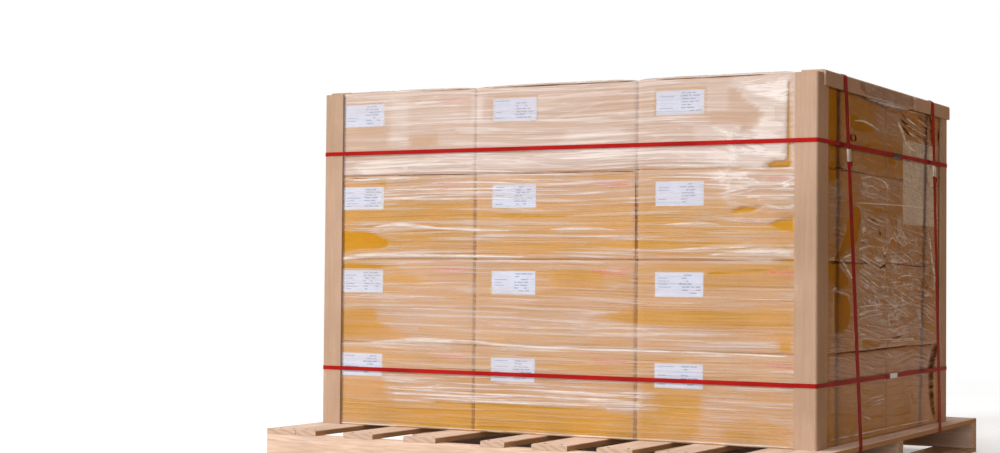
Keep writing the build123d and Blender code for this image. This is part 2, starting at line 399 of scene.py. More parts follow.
def film_material():
    """Clear stretched film: haze where it is loose, amber where it clings, painted highlights on its streaks
    and crinkles, glossy all over.
    """
    material, tree = new_tree("film")
    haze, streaky, cling, crinkle, amber = [
        painted(tree, name) for name in ("haze", "streaky", "cling", "crinkle", "amber")]
    wrap = put(tree, "UVMap", settings={"uv_map": "wrap"})

    def streaks(along, across, *shape):
        return noise(scaled(wrap, (along, across, 1)), 1.0, *shape)

    broad = streaks(2.6, 42, 4.0, 0.55, 0.3)
    middle = streaks(3.2, 145, 3.0, 0.55, 0.2)
    fine = streaks(5.0, 340, 2.0, 0.5, 0.1)
    curly = streaks(16, 40, 3.0, 0.55, 0.5)
    creased = streaks(7, 52, 3.0, 0.5, 0.9)
    here = streaks(8, 16, 2.0)
    ragged = streaks(30, 150, 3.0, 0.6)

    lines = ramp(middle, (0.53, 0.0), (0.58, 1.0))
    gaps = ramp(middle, (0.36, 1.0), (0.45, 0.0))
    hairs = ramp(fine, (0.52, 0.0), (0.60, 1.0))
    threads = ramp(fine, (0.56, 0.0), (0.64, 1.0))
    rims = contour(broad, 0.03)
    scribble_highlights = contour(curly, 0.022) * ramp(here, (0.46, 0.0), (0.60, 1.0))
    creases = contour(creased, 0.05) * ramp(here, (0.42, 0.0), (0.56, 1.0))

    # Painted glints on small facets of crumpled film, each as bright as chance has it
    askew = scaled(scaled(wrap, (1, 1, 1), turn=(0, 0, 0.12)), (8, 30, 1))
    painted_glints = ramp(cells(askew, 1.0, output="Color"), (0.50, 0.0), (0.78, 1.0))
    painted_slants = ramp(noise(askew, 1.0, 3.0, 0.6, 0.4), (0.52, 0.0), (0.64, 1.0))

    # Where it clings, all of it or in streaks where it is painted amber
    pressed = eased(cling + (ragged - 0.5) * CLING_WAVER, -CLING_EDGE, CLING_EDGE)
    half_pressed = ramp(middle * 0.45 + broad * 0.55 + amber * 0.30, (0.56, 0.0), (0.70, 1.0))
    half_pressed = half_pressed * calc("MULTIPLY", amber, 3.0, clamp=True) * 0.34
    clinging = calc("MAXIMUM", pressed, half_pressed + threads * amber * 0.26)

    cover = haze * (broad * 0.9 + 0.55)
    # Milky streaks of the film, which also stand as painted highlights of its pleats, with clearer gaps
    # between them
    cover = cover + (lines * 0.40 + hairs * 0.22 + rims * 0.24 - gaps * 0.18) * streaky
    # Painted highlights along the creases and facets of crumpled film
    cover = cover + (scribble_highlights * 0.08 + creases * 0.34) * crinkle
    cover = cover + (painted_glints * 0.16 + painted_slants * 0.42) * crinkle
    cover = calc("MINIMUM", cover * (1.0 - clinging * 0.93), 0.9)

    height = middle + fine * 0.30
    height = height + (cells(scaled(wrap, (9, 34, 1)), 1.0) * 0.9 + creased * 1.2) * crinkle
    normal = bump(height * (1.0 - pressed * 0.8), 0.45, 0.003)

    # Milky white, partly a painted highlight, along the streaks and creases
    tint = blend(calc("MAXIMUM", lines * 0.5, creases * crinkle), HAZE_COLOUR, MILK_AND_HIGHLIGHT_COLOUR)
    body = put(tree, "BsdfDiffuse", Color=tint, Normal=normal)
    clear = put(tree, "BsdfTransparent", Color=blend(clinging, CLEAR_TINT, CLING_TINT))
    gloss = put(tree, "BsdfGlossy", Color=GLOSS_COLOUR, Roughness=0.16, Normal=normal)
    edge_on = put(tree, "Fresnel", IOR=1.34, Normal=normal)
    show(put(tree, "MixShader", edge_on, put(tree, "MixShader", cover, clear, body), gloss))
    return material


def fold_material(name, dark):
    """A pleat of film with a painted highlight along its ridge, or a dark valley of painted shade, fading out
    to both sides.
    """
    material, tree = new_tree(name)
    uneven = noise(scaled(object_place(tree), (12, 12, 150)), 1.0, 3.0, 0.6)
    strength = calc("MULTIPLY", painted(tree, "fade"), ramp(uneven, (0.35, 0.40), (0.62, 1.0)), clamp=True)
    if dark:
        # A valley is painted shade: a dark brown tint over the film
        show(put(tree, "BsdfTransparent", Color=blend(strength, WHITE, VALLEY_SHADE_TINT)))
    else:
        show(put(tree, "MixShader", strength * 0.95, put(tree, "BsdfTransparent", Color=WHITE),
                 put(tree, "BsdfDiffuse", Color=PLEAT_HIGHLIGHT_COLOUR)))
    return material


# Mesh helpers

def new_piece(name, vertices, faces, material, smooth=False):
    """A mesh object in the scene."""
    mesh = bpy.data.meshes.new(name)
    mesh.from_pydata([tuple(v) for v in vertices], [], faces)
    mesh.materials.append(material)
    if smooth:
        mesh.polygons.foreach_set("use_smooth", [True] * len(mesh.polygons))
    mesh.update()
    piece = bpy.data.objects.new(name, mesh)
    bpy.context.scene.collection.objects.link(piece)
    return piece


def add_piece(name, vertices, faces, material, smooth=False):
    """A piece of the load itself, fixed to its one body."""
    piece = new_piece(name, vertices, faces, material, smooth)
    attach(piece, "root")
    return piece


def write_fields(piece, fields):
    """Gives each point of a piece the values that its material reads."""
    for name, values in fields.items():
        attribute = piece.data.attributes.new(name, "FLOAT", "POINT")
        attribute.data.foreach_set("value", np.asarray(values, np.float32))


def grid_faces(start, down, across):
    """The faces of a grid with so many cells, whose points follow start row by row."""
    width = across + 1
    corners = [start + row * width + column for row in range(down) for column in range(across)]
    return [[a, a + 1, a + width + 1, a + width] for a in corners]


def add_box(vertices, faces, low, high):
    start = len(vertices)
    vertices += [(x, y, z) for x in (low[0], high[0]) for y in (low[1], high[1]) for z in (low[2], high[2])]
    for quad in ((0, 1, 3, 2), (4, 6, 7, 5), (0, 4, 5, 1), (2, 3, 7, 6), (0, 2, 6, 4), (1, 5, 7, 3)):
        faces.append([start + corner for corner in quad])


def value_noise(u, v, seed):
    """Smooth value noise of unit cells, from 0 to 1."""
    size = 256
    table = np.random.RandomState(seed).rand(size, size)
    iu, iv = np.floor(u).astype(int), np.floor(v).astype(int)
    fu, fv = u - iu, v - iv
    fu, fv = fu * fu * (3 - 2 * fu), fv * fv * (3 - 2 * fv)
    a, b = table[iu % size, iv % size], table[(iu + 1) % size, iv % size]
    c, d = table[iu % size, (iv + 1) % size], table[(iu + 1) % size, (iv + 1) % size]
    return (a * (1 - fu) + b * fu) * (1 - fv) + (c * (1 - fu) + d * fu) * fv


def smooth_step(value, low, high):
    share = np.clip((value - low) / (high - low), 0, 1)
    return share * share * (3 - 2 * share)


# Film

FILM_EDGE_RADIUS = 5 * MM
FILM_CELLS_X = 122
FILM_CELLS_Y = 92
FILM_CELLS_Z = 140
FILM_INSET = 0.5 * MM
GRID_STEP_LEAST = 0.6 * MM
RELIEF_LOW = -0.4 * MM
RELIEF_HIGH = 3.2 * MM
# How far from a side's upright edges, or from the rim, the film starts to be loose and is wholly so
LOOSE_ON_LONG = (45 * MM, 75 * MM)
LOOSE_ON_SHORT = (60 * MM, 90 * MM)
LOOSE_ON_TOP = (50 * MM, 90 * MM)
LOOSE_BELOW_RIM = (0.0, 50 * MM)
DOME_RISE = 3.0 * MM
DOME_SLOPE = 100 * MM
DOME_REACH = 60 * MM
HEM_RISE = 3.0 * MM
HEM_REACH = 20 * MM
JOINT_DIP = 1.6 * MM
FIELD_LIMIT = 30 * MM
# Farther from a region's edge than it matters
FAR = 1000.0
# How strong the amber is at a clinging area's edge, and how far it reaches, in millimetres
AMBER_RIM = 0.6
AMBER_REACH = 14
# An amber region of at most this amount clears what lies under it.
AMBER_CLEARED = 0.2
# How far a side's streaks lean, how much shorter they are, how they waver, and where their pattern starts
STREAKS = {"front": (0.004, 1.0, 0.010, 0.0), "right": (0.07, 2.4, 0.030, 2.0),
           "back": (0.010, 1.2, 0.015, 6.0), "left": (-0.12, 1.8, 0.020, 8.0)}
# How hazy and how streaky each side is where nothing is painted
PLAIN_TONES = {"front": (0.44, 0.45), "right": (0.06, 0.45), "back": (0.44, 0.30),
               "left": (0.36, 0.32), "top": (0.30, 0.70)}
# How much of each field the labels under the film take away
CLEARED_OVER_LABELS = {"haze": 0.75, "streaky": 0.5, "amber": 1.0}

# Regions of the film, in millimetres. Their points were picked in the photograph and carried
# onto the film's two sides in view with the solved camera. The first number of each point is x on the
# front and y on the right side, and the second is z.

# A tone is how hazy a region is, how streaky, how soft its edge is, and its outline.
FRONT_TONES = [
    (0.10, 0.80, 20, [(-589, 440), (606, 442), (606, 623), (-589, 621)]),
    (0.20, 0.85, 15, [(-430, 564), (606, 573), (606, 623), (-430, 621)]),
    (0.15, 0.60, 15, [(-588, 259), (606, 261), (606, 440), (-589, 438)]),
    (0.25, 0.45, 18, [(-429, 345), (108, 350), (138, 283), (-350, 278)]),
    (0.00, 0.15, 12, [(78, 323), (168, 346), (527, 349), (527, 311), (208, 310)]),
    (0.02, 0.30, 15, [(-12, 423), (108, 426), (108, 383), (-12, 378)]),
    (0.02, 0.20, 15, [(207, 438), (526, 438), (527, 394), (337, 383)]),
    (0.01, 0.15, 12, [(-439, 409), (-370, 409), (-340, 397), (-429, 389)]),
    (0.01, 0.08, 8, [(-549, 332), (-449, 339), (-439, 307), (-350, 270), (-549, 265)]),
    (0.22, 0.60, 12, [(158, 306), (477, 305), (497, 279), (507, 261), (148, 260)]),
    (0.00, 0.15, 10, [(482, 304), (512, 304), (512, 267), (487, 267)]),
    (0.14, 0.60, 15, [(-588, 78), (607, 79), (606, 257), (-588, 255)]),
    (0.18, 1.00, 15, [(-419, 190), (208, 189), (248, 141), (-390, 138)]),
    (0.00, 0.40, 12, [(-549, 132), (228, 133), (288, 81), (-549, 80)]),
    (0.02, 0.15, 12, [(-549, 188), (-429, 188), (-409, 138), (-549, 138)]),
    (0.02, 0.45, 20, [(228, 189), (337, 189), (307, 89), (228, 89)]),
    (0.16, 0.50, 20, [(337, 179), (457, 179), (437, 89), (317, 89)]),
    (0.24, 0.10, 10, [(-365, 709), (-295, 712), (-290, 688), (-360, 686)]),
    (0.36, 0.12, 10, [(-539, 730), (-420, 735), (-410, 671), (-539, 668)]),
    (0.60, 0.30, 12, [(-410, 795), (-365, 795), (-370, 696), (-415, 696)]),
    (0.68, 0.50, 8, [(-204, 791), (-176, 791), (-181, 741), (-204, 741)]),
    (0.60, 0.40, 12, [(28, 713), (147, 711), (167, 691), (8, 689)]),
    (0.62, 0.15, 6, [(307, 712), (377, 709), (407, 669), (307, 667)]),
    (0.66, 0.12, 4, [(387, 803), (516, 797), (516, 630), (347, 630), (347, 697)]),
    (0.38, 0.05, 3, [(337, 787), (397, 782), (411, 759), (436, 745), (449, 732), (446, 712), (431, 699),
                     (407, 697), (402, 709), (337, 712)]),
    (0.52, 0.10, 4, [(332, 797), (379, 797), (382, 739), (335, 739)]),
    (0.30, 0.60, 15, [(337, 620), (516, 620), (516, 543), (387, 543)]),
    # The fold under the upper strap, doubled and pale
    (0.64, 0.80, 6, [(-510, 650), (-440, 662), (-300, 665), (0, 668), (250, 667), (345, 664), (345, 638),
                     (0, 634), (-300, 630), (-480, 630)]),
]
FRONT_CLING = [
    [(-549, 509), (-489, 505), (-459, 503), (-430, 490), (-414, 484), (-414, 471), (-439, 465), (-489, 463),
     (-549, 458)],
    [(500, 624), (511, 624), (510, 789), (502, 789)],
    [(456, 630), (476, 639), (511, 640), (511, 624), (466, 624)],
    [(-549, 435), (-489, 434), (-429, 431), (-405, 426), (-439, 421), (-549, 419)],
    [(457, 514), (485, 524), (516, 527), (516, 497), (492, 502)],
    [(372, 541), (412, 550), (452, 549), (432, 539), (392, 536)],
    [(477, 442), (495, 448), (516, 449), (517, 441)],
    [(-441, 609), (-430, 614), (-420, 608), (-430, 602)],
]
# A stroke runs through points that also have a half width.
FRONT_CLING_STROKES = [
    [(178, 476, 1.4), (257, 477, 2.6), (407, 474, 1.4)],
    [(-419, 89, 2.0), (-191, 87, 3.5), (158, 89, 2.0)],
    [(-290, 137, 2.0), (-91, 138, 2.8), (108, 136, 1.4)],
    [(227, 411, 0.8), (327, 416, 2.4), (507, 428, 2.0)],
    [(-191, 533, 0.8), (-91, 535, 2.6), (28, 533, 1.0)],
]
# Pleats of milky film, drawn with painted highlights along their ridges
FRONT_PLEAT_HIGHLIGHT_STROKES = [
    [(-520, 617, 0.8), (-470, 618, 3.0), (-410, 619, 3.4), (-330, 620, 0.8)],
    [(190, 634, 0.8), (260, 633, 3.0), (330, 631, 3.6), (400, 633, 1.0)],
    [(-545, 83, 1.2), (-300, 83.2, 1.8), (0, 83.2, 1.8), (300, 83.4, 1.8), (515, 83.6, 1.2)],
    [(-459, 513, 0.8), (-410, 517, 4.2), (-350, 516, 5.0), (-270, 509, 2.2), (-191, 506, 3.2),
     (-101, 504, 1.0)],
    [(-22, 506, 0.8), (28, 508, 4.0), (88, 508, 3.2), (138, 504, 0.8)],
    [(-544, 443, 3.0), (-489, 450, 6.0), (-410, 454, 6.0), (-290, 452, 4.0), (-71, 449, 1.4)],
    [(337, 454, 1.4), (407, 459, 6.0), (467, 461, 8.5), (521, 456, 8.5)],
    [(247, 464, 0.8), (337, 468, 3.0), (427, 470, 1.4)],
    [(237, 515, 0.8), (307, 517, 3.0), (367, 514, 1.0)],
    [(-469, 260, 0.8), (-390, 266, 5.0), (-320, 270, 5.8), (-211, 268, 4.2), (-91, 263, 3.0),
     (108, 261, 3.0), (307, 261, 2.0), (507, 258, 1.5)],
    [(-410, 596, 0.8), (-290, 594, 2.8), (-91, 593, 1.4)],
    [(-390, 574, 1.0), (-241, 573, 2.4), (-52, 571, 1.0)],
    [(-409, 163, 0.8), (-191, 160, 2.2), (128, 159, 0.8)],
    [(-340, 146, 0.8), (-91, 144, 2.0), (208, 149, 0.8)],
    [(392, 699, 4.0), (381, 677, 9.0), (392, 653, 10.0), (373, 630, 5.0)],
    [(337, 709, 2.0), (367, 699, 7.0), (392, 682, 6.0)],
    [(383, 626, 2.0), (369, 610, 4.0), (337, 601, 1.0)],
]
RIGHT_TONES = [
    (0.20, 0.45, 15, [(-32, 793), (128, 792), (108, 728), (9, 698), (-62, 723)]),
    (0.20, 0.80, 12, [(-341, 603), (-251, 598), (-261, 548), (-341, 479), (-346, 453)]),
    (0.17, 0.90, 20, [(-151, 630), (139, 623), (139, 566), (-161, 570)]),
    (0.12, 1.00, 20, [(-151, 558), (289, 557), (290, 277), (-170, 298)]),
    (0.18, 0.60, 12, [(289, 532), (389, 532), (399, 427), (319, 417)]),
    (0.08, 0.14, 6, [(-340, 259), (430, 258), (410, 209), (-350, 210)]),
    (0.00, 0.14, 12, [(-350, 198), (410, 197), (411, 87), (-350, 88)]),
    (0.12, 0.20, 10, [(-346, 383), (-313, 383), (-313, 288), (-345, 268)]),
    (0.06, 0.30, 3, [(138, 720), (398, 719), (399, 527), (139, 528)]),
    (0.02, 0.90, 8, [(108, 788), (398, 787), (398, 717), (188, 713)]),
    (0.24, 0.30, 6, [(88, 773), (118, 758), (163, 719), (143, 698), (108, 713)]),
]
RIGHT_CLING = [
    [(-352, 791), (-297, 790), (-292, 738), (-287, 698), (-281, 638), (-283, 613), (-311, 602), (-351, 601)],
    [(-222, 740), (-182, 744), (-142, 734), (-92, 727), (-57, 720), (-91, 713), (-141, 709), (-202, 711),
     (-224, 720)],
    [(29, 666), (59, 672), (94, 666), (69, 655), (39, 657)],
    [(-351, 443), (-311, 451), (-271, 476), (-246, 498), (-236, 528), (-201, 554), (-161, 559), (-145, 546),
     (-151, 518), (-161, 494), (-176, 480), (-231, 468), (-273, 453), (-287, 441), (-261, 428), (-223, 412),
     (-212, 400), (-241, 393), (-281, 389), (-311, 397), (-341, 410)],
    [(-317, 388), (-281, 384), (-232, 378), (-210, 360), (-210, 338), (-222, 316), (-260, 305), (-312, 302),
     (-313, 348)],
    [(-140, 287), (-110, 289), (-60, 284), (-15, 278), (-30, 268), (-140, 265)],
    [(-355, 144), (-260, 141), (-170, 133), (-149, 113), (-209, 98), (-355, 92)],
    [(-1, 462), (29, 464), (34, 456), (4, 453)],
    [(-10, 441), (19, 445), (32, 435), (0, 431)],
]
RIGHT_CLING_STROKES = [
    [(-201, 669, 1.0), (-111, 686, 4.0), (-41, 695, 4.5), (19, 692, 1.5)],
    [(-139, 119, 3.0), (-29, 123, 2.5), (91, 118, 3.5), (241, 115, 1.5)],
    [(-129, 94, 5.0), (41, 96, 3.5), (211, 91, 5.0)],
    [(-111, 548, 1.0), (-11, 554, 3.5), (99, 550, 1.0)],
    [(39, 490, 1.0), (69, 493, 5.0), (104, 488, 1.0)],
    [(170, 188, 1.0), (211, 147, 6.0), (226, 107, 3.0)],
]
# Pleats and crinkles of the right side, drawn with painted highlights along their ridges
RIGHT_PLEAT_HIGHLIGHT_STROKES = [
    [(89, 754, 1.0), (107, 745, 6.0), (129, 733, 7.0), (147, 719, 7.0), (162, 707, 5.0), (199, 698, 2.5),
     (252, 695, 0.8)],
    [(139, 769, 0.8), (176, 762, 1.8), (221, 754, 1.8), (283, 746, 0.8)],
    [(154, 749, 0.8), (199, 745, 1.8), (252, 739, 1.8), (307, 734, 1.4), (338, 731, 0.6)],
    [(176, 780, 0.8), (236, 782, 1.6), (298, 782, 1.6), (338, 778, 0.8)],
    [(244, 768, 0.8), (283, 761, 1.6), (330, 755, 0.8)],
    [(169, 736, 0.8), (207, 730, 1.6), (252, 723, 1.4), (299, 718, 0.6)],
    [(298, 770, 0.8), (322, 764, 3.0), (330, 757, 1.0)],
    [(-199, 730, 0.8), (-142, 734, 1.8), (-103, 732, 2.0), (-63, 727, 2.0), (-22, 719, 1.0)],
    [(-153, 615, 0.8), (-102, 621, 1.6), (-42, 621, 1.8), (6, 616, 2.2), (30, 606, 4.0), (37, 596, 2.0)],
    [(-147, 586, 0.8), (-114, 581, 1.6), (-62, 579, 1.4), (-21, 582, 0.8)],
    [(-128, 600, 0.6), (-82, 603, 1.4), (-48, 599, 1.2), (-21, 593, 0.6)],
    [(-185, 564, 0.8), (-55, 567, 1.3), (119, 570, 1.3), (269, 570, 0.9), (380, 567, 0.6)],
    [(-143, 498, 4.0), (-139, 508, 8.0), (-123, 513, 5.0), (-114, 515, 1.0)],
    [(-155, 486, 3.0), (-133, 489, 2.0), (-94, 491, 0.8)],
    [(-168, 468, 3.0), (-133, 474, 2.4), (-80, 478, 1.6), (-27, 477, 1.2), (21, 476, 0.6)],
    [(-165, 462, 0.8), (-120, 455, 1.6), (-67, 446, 1.3), (-20, 439, 0.6)],
    [(-165, 455, 0.8), (-113, 446, 1.4), (-60, 436, 1.2), (-13, 428, 0.6)],
    [(-164, 427, 1.0), (-113, 416, 2.2), (-66, 403, 2.2), (-19, 390, 0.8)],
    [(-164, 419, 1.0), (-119, 408, 2.0), (-73, 396, 1.4), (-33, 387, 0.6)],
    [(-152, 432, 0.8), (-100, 422, 1.5), (-46, 410, 1.6), (-12, 402, 0.8)],
    [(-164, 409, 0.8), (-125, 400, 1.4), (-93, 393, 0.6)],
    [(-270, 448, 0.8), (-240, 454, 2.5), (-196, 461, 2.6)],
    [(-270, 445, 0.8), (-245, 435, 5.0), (-227, 424, 5.0), (-202, 411, 3.0), (-189, 405, 1.0)],
    [(-258, 450, 0.5), (-227, 446, 1.4), (-196, 446, 1.0)],
    [(-166, 336, 2.5), (-131, 340, 3.2), (-86, 343, 2.6), (-26, 344, 0.8)],
    [(-163, 326, 1.0), (-112, 331, 1.4), (-46, 335, 1.4), (9, 336, 0.6)],
    [(-163, 352, 0.6), (-112, 354, 1.3), (-46, 355, 1.2), (8, 358, 0.6)],
    [(-163, 295, 2.0), (-137, 296, 2.2), (-111, 291, 1.0)],
    [(-163, 288, 0.8), (-18, 283, 0.8), (122, 279, 1.2), (226, 279, 1.4)],
    [(51, 277, 0.6), (122, 275, 1.2), (226, 276, 0.8)],
    [(37, 303, 0.6), (93, 296, 1.4), (129, 292, 1.2), (166, 292, 0.6)],
    [(-201, 308, 2.0), (-191, 292, 3.0), (-188, 280, 2.0)],
    [(84, 524, 0.6), (113, 510, 2.4), (142, 497, 2.0), (179, 483, 0.8)],
    [(105, 525, 0.6), (134, 512, 2.0), (171, 497, 1.6), (209, 484, 0.6)],
    [(63, 517, 0.5), (91, 502, 1.8), (127, 487, 1.4), (157, 478, 0.6)],
    [(-127, 535, 0.6), (-88, 530, 1.4), (-41, 524, 1.6), (21, 523, 0.6)],
    [(-114, 543, 0.5), (-68, 538, 1.0), (-21, 532, 1.0), (35, 529, 0.5)],
    [(120, 471, 0.5), (172, 460, 1.2), (224, 450, 1.0), (270, 442, 0.5)],
    [(35, 474, 0.5), (84, 464, 1.1), (142, 452, 1.0), (202, 442, 0.5)],
    [(99, 413, 0.6), (143, 417, 1.6), (187, 418, 1.2), (224, 415, 0.5)],
    [(50, 384, 0.5), (107, 371, 1.4), (173, 358, 1.2), (240, 346, 0.5)],
    [(71, 393, 0.5), (136, 380, 1.2), (202, 366, 1.0), (255, 357, 0.5)],
    [(8, 370, 0.5), (64, 354, 1.2), (129, 341, 1.0), (188, 329, 0.5)],
    [(286, 372, 3.0), (333, 374, 3.4), (381, 371, 1.0)],
    [(286, 350, 0.5), (326, 338, 1.2), (366, 324, 0.8)],
    [(286, 339, 0.5), (326, 327, 1.2), (366, 312, 0.8)],
    [(302, 356, 0.5), (341, 346, 1.2), (382, 333, 0.8)],
    [(324, 527, 1.0), (348, 488, 5.0), (364, 450, 8.0), (381, 420, 8.0), (389, 395, 3.0)],
    [(400, 593, 3.0), (403, 536, 4.0), (405, 478, 3.0)],
    [(456, 792, 5.0), (452, 736, 5.0), (449, 693, 4.0)],
    [(-130, 237, 0.5), (-91, 227, 1.2), (-44, 217, 0.5)],
    [(9, 257, 0.6), (37, 250, 1.2), (72, 240, 0.5)],
    [(-110, 152, 0.6), (-44, 155, 1.4), (24, 156, 0.8)],
    [(-123, 159, 0.5), (-57, 163, 1.1), (10, 164, 0.5)],
    [(-97, 145, 0.4), (-30, 148, 1.0), (24, 149, 0.5)],
    [(-135, 129, 0.6), (-97, 122, 1.6), (-57, 114, 0.8)],
    [(11, 126, 0.4), (66, 124, 1.0), (124, 124, 0.5)],
    [(-337, 94, 0.8), (-242, 94, 1.4), (-16, 93, 1.2), (197, 92, 1.2), (351, 91, 1.6)],
]
# Painted shade in dark folds and gaps
RIGHT_SHADE_STROKES = [
    [(449, 677, 5.0), (448, 595, 9.0), (442, 525, 8.0), (438, 478, 4.0)],
    [(419, 261, 5.7), (390, 243, 17.1), (364, 221, 20.9), (357, 199, 22.8), (359, 162, 20.9),
     (371, 123, 17.1), (394, 87, 5.7)],
    [(-335, 441, 2.0), (-300, 441, 3.0), (-270, 441, 2.5)],
    [(-270, 441, 1.2), (-202, 441, 1.4), (-100, 441, 0.8)],
    [(70, 442, 0.5), (157, 441, 1.2), (232, 439, 1.4), (333, 440, 0.6)],
    [(-308, 629, 1.2), (-278, 629, 2.2), (-248, 628, 2.0), (-210, 627, 1.0), (-115, 627, 0.8)],
    [(125, 773, 1.0), (154, 766, 2.5), (191, 760, 2.8), (237, 753, 2.0), (275, 748, 0.8)],
    [(103, 761, 1.0), (140, 754, 3.2), (176, 748, 3.2), (222, 741, 2.5), (275, 736, 0.8)],
    [(118, 748, 0.8), (147, 739, 3.0), (177, 731, 3.4), (207, 724, 1.2)],
    [(244, 775, 0.8), (275, 770, 2.0), (314, 765, 1.6)],
    [(252, 763, 0.8), (291, 756, 1.8), (330, 750, 1.0)],
    [(229, 736, 0.8), (268, 729, 2.0), (307, 725, 0.8)],
    [(346, 788, 8.0), (354, 763, 12.0), (362, 734, 10.0), (370, 707, 4.0)],
    [(411, 761, 4.0), (415, 742, 8.0), (411, 719, 4.0)],
    [(-34, 521, 0.8), (-27, 511, 5.0), (-17, 503, 4.0), (-13, 501, 1.0)],
    [(-158, 482, 1.0), (-139, 484, 2.0), (-107, 483, 0.8)],
    [(341, 429, 4.0), (353, 420, 6.0), (345, 409, 3.0)],
    [(329, 399, 1.0), (325, 393, 3.0), (309, 386, 1.0)],
    [(-88, 534, 0.5), (-61, 531, 1.4), (-27, 527, 0.8)],
    [(-152, 450, 0.6), (-113, 443, 1.4), (-87, 437, 0.6)],
    [(-113, 416, 0.5), (-73, 405, 1.3), (-40, 395, 0.6)],
    [(58, 282, 0.6), (93, 284, 2.0), (137, 286, 0.8)],
    [(-33, 432, 0.8), (-13, 434, 2.0), (8, 437, 2.5), (28, 441, 1.0)],
    [(-6, 465, 1.5), (11, 459, 4.0), (21, 457, 1.0)],
    [(-298, 262, 0.8), (-213, 262, 1.6), (-117, 261, 1.8), (-18, 262, 1.6), (159, 263, 1.6), (366, 261, 1.0)],
]
# Painted shade and shadow along the top edge, beside the left angle board and along the carton joints
FRONT_SHADE_STROKES = [
    [(-163, 807, 1.3), (-43, 807, 1.8), (96, 807, 1.8), (178, 807, 1.3)],
    [(220, 807, 1.0), (318, 807, 1.6), (424, 807, 1.4), (461, 807, 0.6)],
    [(-338, 807, 0.5), (-249, 807, 1.0), (-202, 807, 0.6)],
    [(-537, 801, 0.9), (-536, 685, 1.1), (-538, 628, 1.6), (-540, 597, 2.8), (-541, 464, 3.2),
     (-542, 353, 2.6), (-541, 253, 2.2), (-540, 88, 1.6)],
    [(-400, 625, 0.5), (-356, 626, 1.0), (-285, 626, 1.0), (-186, 625, 0.9), (-41, 624, 1.0),
     (75, 624, 1.1), (181, 623, 1.1)],
    [(-518, 623, 0.6), (-465, 620, 1.2), (-412, 621, 0.8)],
    [(178, 610, 0.8), (179, 535, 1.2), (179, 448, 0.9)],
]
# Where the film is crumpled: how much, how soft the edge is, and the outline.
FRONT_CRINKLE = [
    (1.0, 10, [(406, 797), (506, 797), (506, 638), (377, 657), (417, 697), (456, 727)]),
    (1.0, 15, [(337, 618), (516, 618), (516, 528), (407, 528)]),
    (0.6, 10, [(337, 707), (407, 707), (397, 598), (337, 598)]),
]
RIGHT_CRINKLE = [
    (0.8, 15, [(-151, 628), (39, 618), (39, 578), (-151, 578)]),
    (1.0, 20, [(-151, 543), (129, 553), (269, 497), (290, 297), (-110, 308), (-171, 418)]),
    (0.7, 10, [(138, 718), (398, 717), (399, 597), (139, 568)]),
    (0.7, 10, [(269, 527), (399, 527), (400, 327), (290, 347)]),
    (0.5, 20, [(-342, 719), (-112, 718), (-161, 618), (-341, 619)]),
]
# Where the film half clings in streaks: how much, how soft the edge is, and the outline.
FRONT_AMBER = [
    (0.85, 10, [(-540, 570), (-200, 570), (-200, 528), (-460, 526), (-540, 500)]),
    (0.60, 8, [(-440, 512), (-200, 500), (-200, 460), (-420, 462)]),
    (0.45, 12, [(-200, 570), (170, 572), (170, 500), (-200, 500)]),
    (0.80, 6, [(-200, 486), (-40, 484), (170, 478), (170, 462), (-200, 456)]),
    (0.70, 6, [(80, 622), (170, 620), (170, 606), (80, 606)]),
    (0.50, 12, [(180, 580), (340, 575), (510, 560), (510, 460), (420, 470), (180, 490)]),
    (0.90, 6, [(180, 482), (400, 478), (400, 466), (180, 468)]),
    (0.60, 8, [(-540, 438), (-400, 436), (-360, 415), (-300, 400), (-360, 388), (-440, 395)]),
    (0.35, 15, [(-200, 430), (170, 430), (170, 372), (-200, 366)]),
    (0.45, 12, [(180, 440), (510, 440), (510, 392), (340, 380), (180, 386)]),
    (0.55, 8, [(90, 326), (170, 346), (510, 352), (510, 312), (180, 312)]),
    (0.40, 12, [(-540, 335), (-450, 338), (-430, 305), (-340, 272), (-540, 268)]),
    (0.50, 8, [(-340, 300), (-120, 290), (170, 286), (170, 268), (-340, 272)]),
    (0.60, 6, [(480, 305), (510, 305), (510, 264), (490, 268)]),
    (0.35, 15, [(-540, 255), (510, 256), (510, 212), (-540, 210)]),
    (0.60, 10, [(-540, 138), (-250, 138), (-250, 82), (-540, 82)]),
    (1.00, 12, [(-250, 138), (50, 140), (170, 130), (170, 82), (-300, 82)]),
    (0.55, 12, [(200, 200), (330, 200), (320, 82), (180, 82)]),
    (0.60, 12, [(380, 130), (510, 135), (510, 82), (360, 82)]),
    (0.25, 10, [(-370, 712), (-300, 712), (-300, 690), (-370, 690)]),
]
RIGHT_AMBER = [
    (0.55, 20, [(-360, 800), (450, 800), (450, 80), (-360, 80)]),
    (0.15, 12, [(-50, 800), (140, 800), (120, 720), (20, 700), (-50, 730)]),
    (0.85, 10, [(-330, 785), (-240, 785), (-200, 740), (-210, 700), (-330, 690)]),
    (0.85, 8, [(-200, 700), (0, 712), (100, 705), (100, 686), (-200, 686)]),
    (0.80, 8, [(-330, 672), (-100, 672), (80, 672), (80, 640), (-150, 640), (-330, 645)]),
    (0.20, 10, [(-140, 624), (150, 620), (150, 572), (-140, 574)]),
    (0.10, 6, [(-340, 262), (420, 262), (420, 206), (-340, 206)]),
    (0.90, 20, [(-360, 200), (420, 195), (420, 80), (-360, 80)]),
    (1.20, 12, [(-360, 150), (420, 130), (420, 80), (-360, 80)]),
    (1.00, 10, [(-360, 140), (-220, 146), (-150, 135), (-150, 98), (-360, 92)]),
    (0.00, 3, [(145, 718), (396, 718), (396, 528), (145, 528)]),
    (0.90, 8, [(400, 660), (450, 665), (440, 560), (420, 450), (400, 450)]),
]
# The fan of folds below the joint of the edge boards: where it starts, in metres, and its outline
FAN_TIP = (0.060, 0.800)
RIGHT_FAN = [(120, 785), (420, 785), (420, 715), (180, 712)]
# The lower edge of the loose lap over the long edge board
LAP_FOOT = [(-188, 797), (-137, 782), (-71, 775), (11, 767), (75, 767), (132, 774), (177, 792), (188, 800)]


